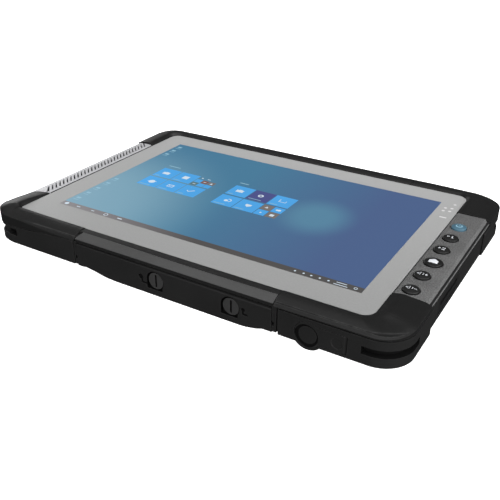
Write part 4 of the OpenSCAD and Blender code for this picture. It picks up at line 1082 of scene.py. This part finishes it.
def soften_door(bm):
    """The long lower edge of the door has a wide chamfer, its upper edge a small one."""
    front = OUTER_BOX[2] + 0.2
    round_edges(bm, DOOR_CHAMFER, 3, 32,
                lambda a, b: max(a.y, b.y) < front and max(a.z, b.z) < DOOR_LOW_EDGE)
    round_edges(bm, DOOR_ROUND, 3, 32,
                lambda a, b: max(a.y, b.y) < front and min(a.z, b.z) > DOOR_TOP_EDGE)


def inset(x, y):
    """How far a point lies inside the outer outline."""
    r = OUTER_R[0]
    dx, dy = OUTER_BOX[1] - abs(x), OUTER_BOX[3] - abs(y)
    if dx < r and dy < r:
        return r - math.hypot(r - dx, r - dy)
    return min(dx, dy)


def in_strap_slot(p):
    return SLOT_Z[0] - 0.1 < p.z < SLOT_Z[1] + 0.1 and 0.8 < inset(p.x, p.y) < 4.3


def near_knob(p):
    spots = [key_spot(name)[0] for name in KNOBS]
    return min(abs(p.x - x) for x in spots) < KNOB_REACH and KNOB_Z[0] < p.z < KNOB_Z[1]


def in_knob_pocket(p):
    return near_knob(p) and OUTER_BOX[2] + FACE_DEPTH < p.y < POCKET_BACK


def in_knob_slit(p):
    return near_knob(p) and p.y > KNOB_FRONT + FACE_DEPTH


def in_ring_groove(p):
    reach = math.hypot(p.x - RING_PLACE[0], p.z - RING_PLACE[1])
    return reach < RING_REACH and p.y > OUTER_BOX[2] + FACE_DEPTH


def lower_top(bm):
    """Lowers the top of a corner block, which widens the parting line under the rubber."""
    top = max(v.co.z for v in bm.verts)
    for v in bm.verts:
        if v.co.z > top - 0.1 * MM:
            v.co.z -= PARTING * MM


def fit_under_skirt(bm):
    """The front left block ends under the low skirt of its bumper and has a tighter corner."""
    top = max(v.co.z for v in bm.verts) - 0.1 * MM
    long = [e for e in bm.edges if min(v.co.z for v in e.verts) > top and e.calc_length() > 5 * MM]
    bmesh.ops.subdivide_edges(bm, edges=long, cuts=12)
    for v in bm.verts:
        x, y = v.co.x / MM, v.co.y / MM
        t = t_of(x, y)
        if v.co.z > top:
            v.co.z = min(v.co.z, (skirt(t) - PARTING) * MM)
        if 7 < t < 8:
            outward = Vector((x - OUTER_BOX[0] - OUTER_R[3], y - OUTER_BOX[2] - OUTER_R[3]))
            push = CORNER_PUSH * math.sin(math.pi * (t - 7)) ** 2
            v.co.xy += outward.normalized() * push * MM


def slant_grille(bm):
    """The front end of the speaker grille is cut on the slant of the bumper beside it."""
    end = min(v.co.y for v in bm.verts) + 0.1 * MM
    for v in bm.verts:
        if v.co.y < end:
            v.co = Vector(slanted(v.co / MM, GRILLE_END)) * MM


def steepen_panel(bm):
    """The outer edge of the key panel falls off more steeply than in the CAD source."""
    for v in bm.verts:
        if v.co.x > PANEL_EDGE[0] * MM and v.co.z > (GLASS_TOP - 2) * MM:
            inward, down = PANEL_MOVE[v.co.x > PANEL_EDGE[1] * MM]
            v.co.x -= inward * MM
            v.co.z -= down * MM


def soften_trim(bm):
    """The trim's upper back edge is broadly rounded and its left end starts further in."""
    left = min(v.co.x for v in bm.verts) + 0.1 * MM
    long = [e for e in bm.edges if e.calc_length() > 20 * MM]
    bmesh.ops.subdivide_edges(bm, edges=long, cuts=24, use_grid_fill=True)
    for v in bm.verts:
        if v.co.z > (GLASS_TOP + 0.2) * MM:
            v.co.y += lookup(v.co.x / MM, TRIM_BOW) * MM
        if v.co.x < left:
            v.co.x += (TRIM_INSET + TRIM_SLANT * max(0.0, v.co.z / MM - TRIM_SLANT_FROM)) * MM
    round_edges(bm, TRIM_ROUND, 3, 12,
                lambda a, b: min(a.z, b.z) > GLASS_TOP + 0.2 and abs(a.x - b.x) > 1)


def build_mouldings():
    refined("block_front_left", 0.5, fit_under_skirt, BLOCK_RUBBER, in_strap_slot)
    refined("port_cover", 0.2, material=BLOCK_RUBBER, recess=in_ring_groove)
    for name in KNOBS:
        refined(name, 0.2, material=KNOB_GREY, recess=in_knob_slit)
    refined("speaker_grille", 0.18, slant_grille)
    refined("front_trim", 0.3, soften_trim)
    refined("key_panel", 0.25, steepen_panel)
    for name, width in (("block_front_right", 0.25), ("block_back_left", 0.6), ("block_back_right", 0.6)):
        refined(name, width, lower_top, BLOCK_RUBBER, in_strap_slot)
    for name, width in (("rear_case", 0.35), ("front_case", 0.25), ("side_cover", 0.3),
                        ("battery_pack", 0.3), ("service_hatch", 0.15), ("foot_back_left", 0.4),
                        ("foot_back_right", 0.4), ("rear_camera", 0.15), ("dock_connector", 0.15)):
        refined(name, width)
    refined("battery_door", 0.2, soften_door, recess=in_knob_pocket)


def dress_cad_nodes():
    """CAD nodes that stay as they are get the finish of their slot."""
    for name, obj in NODES.items():
        obj.data.materials[0] = MATERIALS[SLOT_OF[name]]


# ---- Stage -----------------------------------------------------------------------------


def floor_material():
    made, tree, shader = new_material("studio_floor")
    set_values(shader, Base_Color=(0.86, 0.86, 0.86), Specular_IOR_Level=0.1, Emission_Strength=FLOOR_GLOW)
    shader.inputs["Emission Color"].default_value = (1, 1, 1, 1)
    link(tree, ranged(tree, noise(tree, 3, 2.0), 0.3, 0.7, 0.8, 0.9), shader.inputs["Roughness"])
    clear = node(tree, "ShaderNodeBsdfTransparent")
    choose = node(tree, "ShaderNodeMixShader")
    link(tree, node(tree, "ShaderNodeNewGeometry").outputs["Backfacing"], choose.inputs[0])
    link(tree, shader.outputs[0], choose.inputs[1])
    link(tree, clear.outputs[0], choose.inputs[2])
    out = [n for n in tree.nodes if n.type == "OUTPUT_MATERIAL"][0]
    link(tree, choose.outputs[0], out.inputs["Surface"])
    return made


def build_floor():
    half = 6.0
    mesh = bpy.data.meshes.new("studio_floor")
    corners = [(-half, -half, 0), (half, -half, 0), (half, half, 0), (-half, half, 0)]
    mesh.from_pydata(corners, [], [(0, 1, 2, 3)])
    mesh.materials.append(floor_material())
    made = bpy.data.objects.new("studio_floor", mesh)
    bpy.context.scene.collection.objects.link(made)
    made.visible_glossy = False
    made.visible_diffuse = False


def sun_light(name, direction, strength, angle):
    data = bpy.data.lights.new(name, "SUN")
    data.energy = strength
    data.angle = math.radians(angle)
    made = bpy.data.objects.new(name, data)
    made.rotation_mode = "QUATERNION"
    made.rotation_quaternion = Vector(direction).to_track_quat("-Z", "Y")
    bpy.context.scene.collection.objects.link(made)


def build_lights():
    world = bpy.data.worlds.new("studio")
    world.use_nodes = True
    back = world.node_tree.nodes["Background"]
    back.inputs["Color"].default_value = (1, 1, 1, 1)
    back.inputs["Strength"].default_value = WORLD_LEVEL
    bpy.context.scene.world = world
    for name, direction, strength, angle in SUNS:
        sun_light(name, direction, strength, angle)


def build_camera():
    data = bpy.data.cameras.new("camera")
    data.sensor_width = 36
    data.lens = CAMERA_LENS
    data.clip_start, data.clip_end = 0.01, 50
    made = bpy.data.objects.new("camera", data)
    a, e = math.radians(CAMERA_AZIMUTH), math.radians(CAMERA_DROP)
    forward = Vector((math.sin(a) * math.cos(e), math.cos(a) * math.cos(e), -math.sin(e)))
    turn = forward.to_track_quat("-Z", "Y").to_matrix() @ Matrix.Rotation(math.radians(CAMERA_ROLL), 3, "Z")
    made.matrix_world = Matrix.Translation(CAMERA_PLACE) @ turn.to_4x4()
    bpy.context.scene.collection.objects.link(made)
    bpy.context.scene.camera = made


def set_view():
    view = bpy.context.scene.view_settings
    view.view_transform = "Standard"
    view.look = "None"
    view.exposure = 0
    view.gamma = 1


build_camera()
build_floor()
build_lights()
set_view()
dress_cad_nodes()
build_rim()
build_glass()
build_edge_seal()
build_tiles()
build_icons()
build_desktop()
build_indicators()
build_bumper_hole_shade()
build_keys()
build_mouldings()
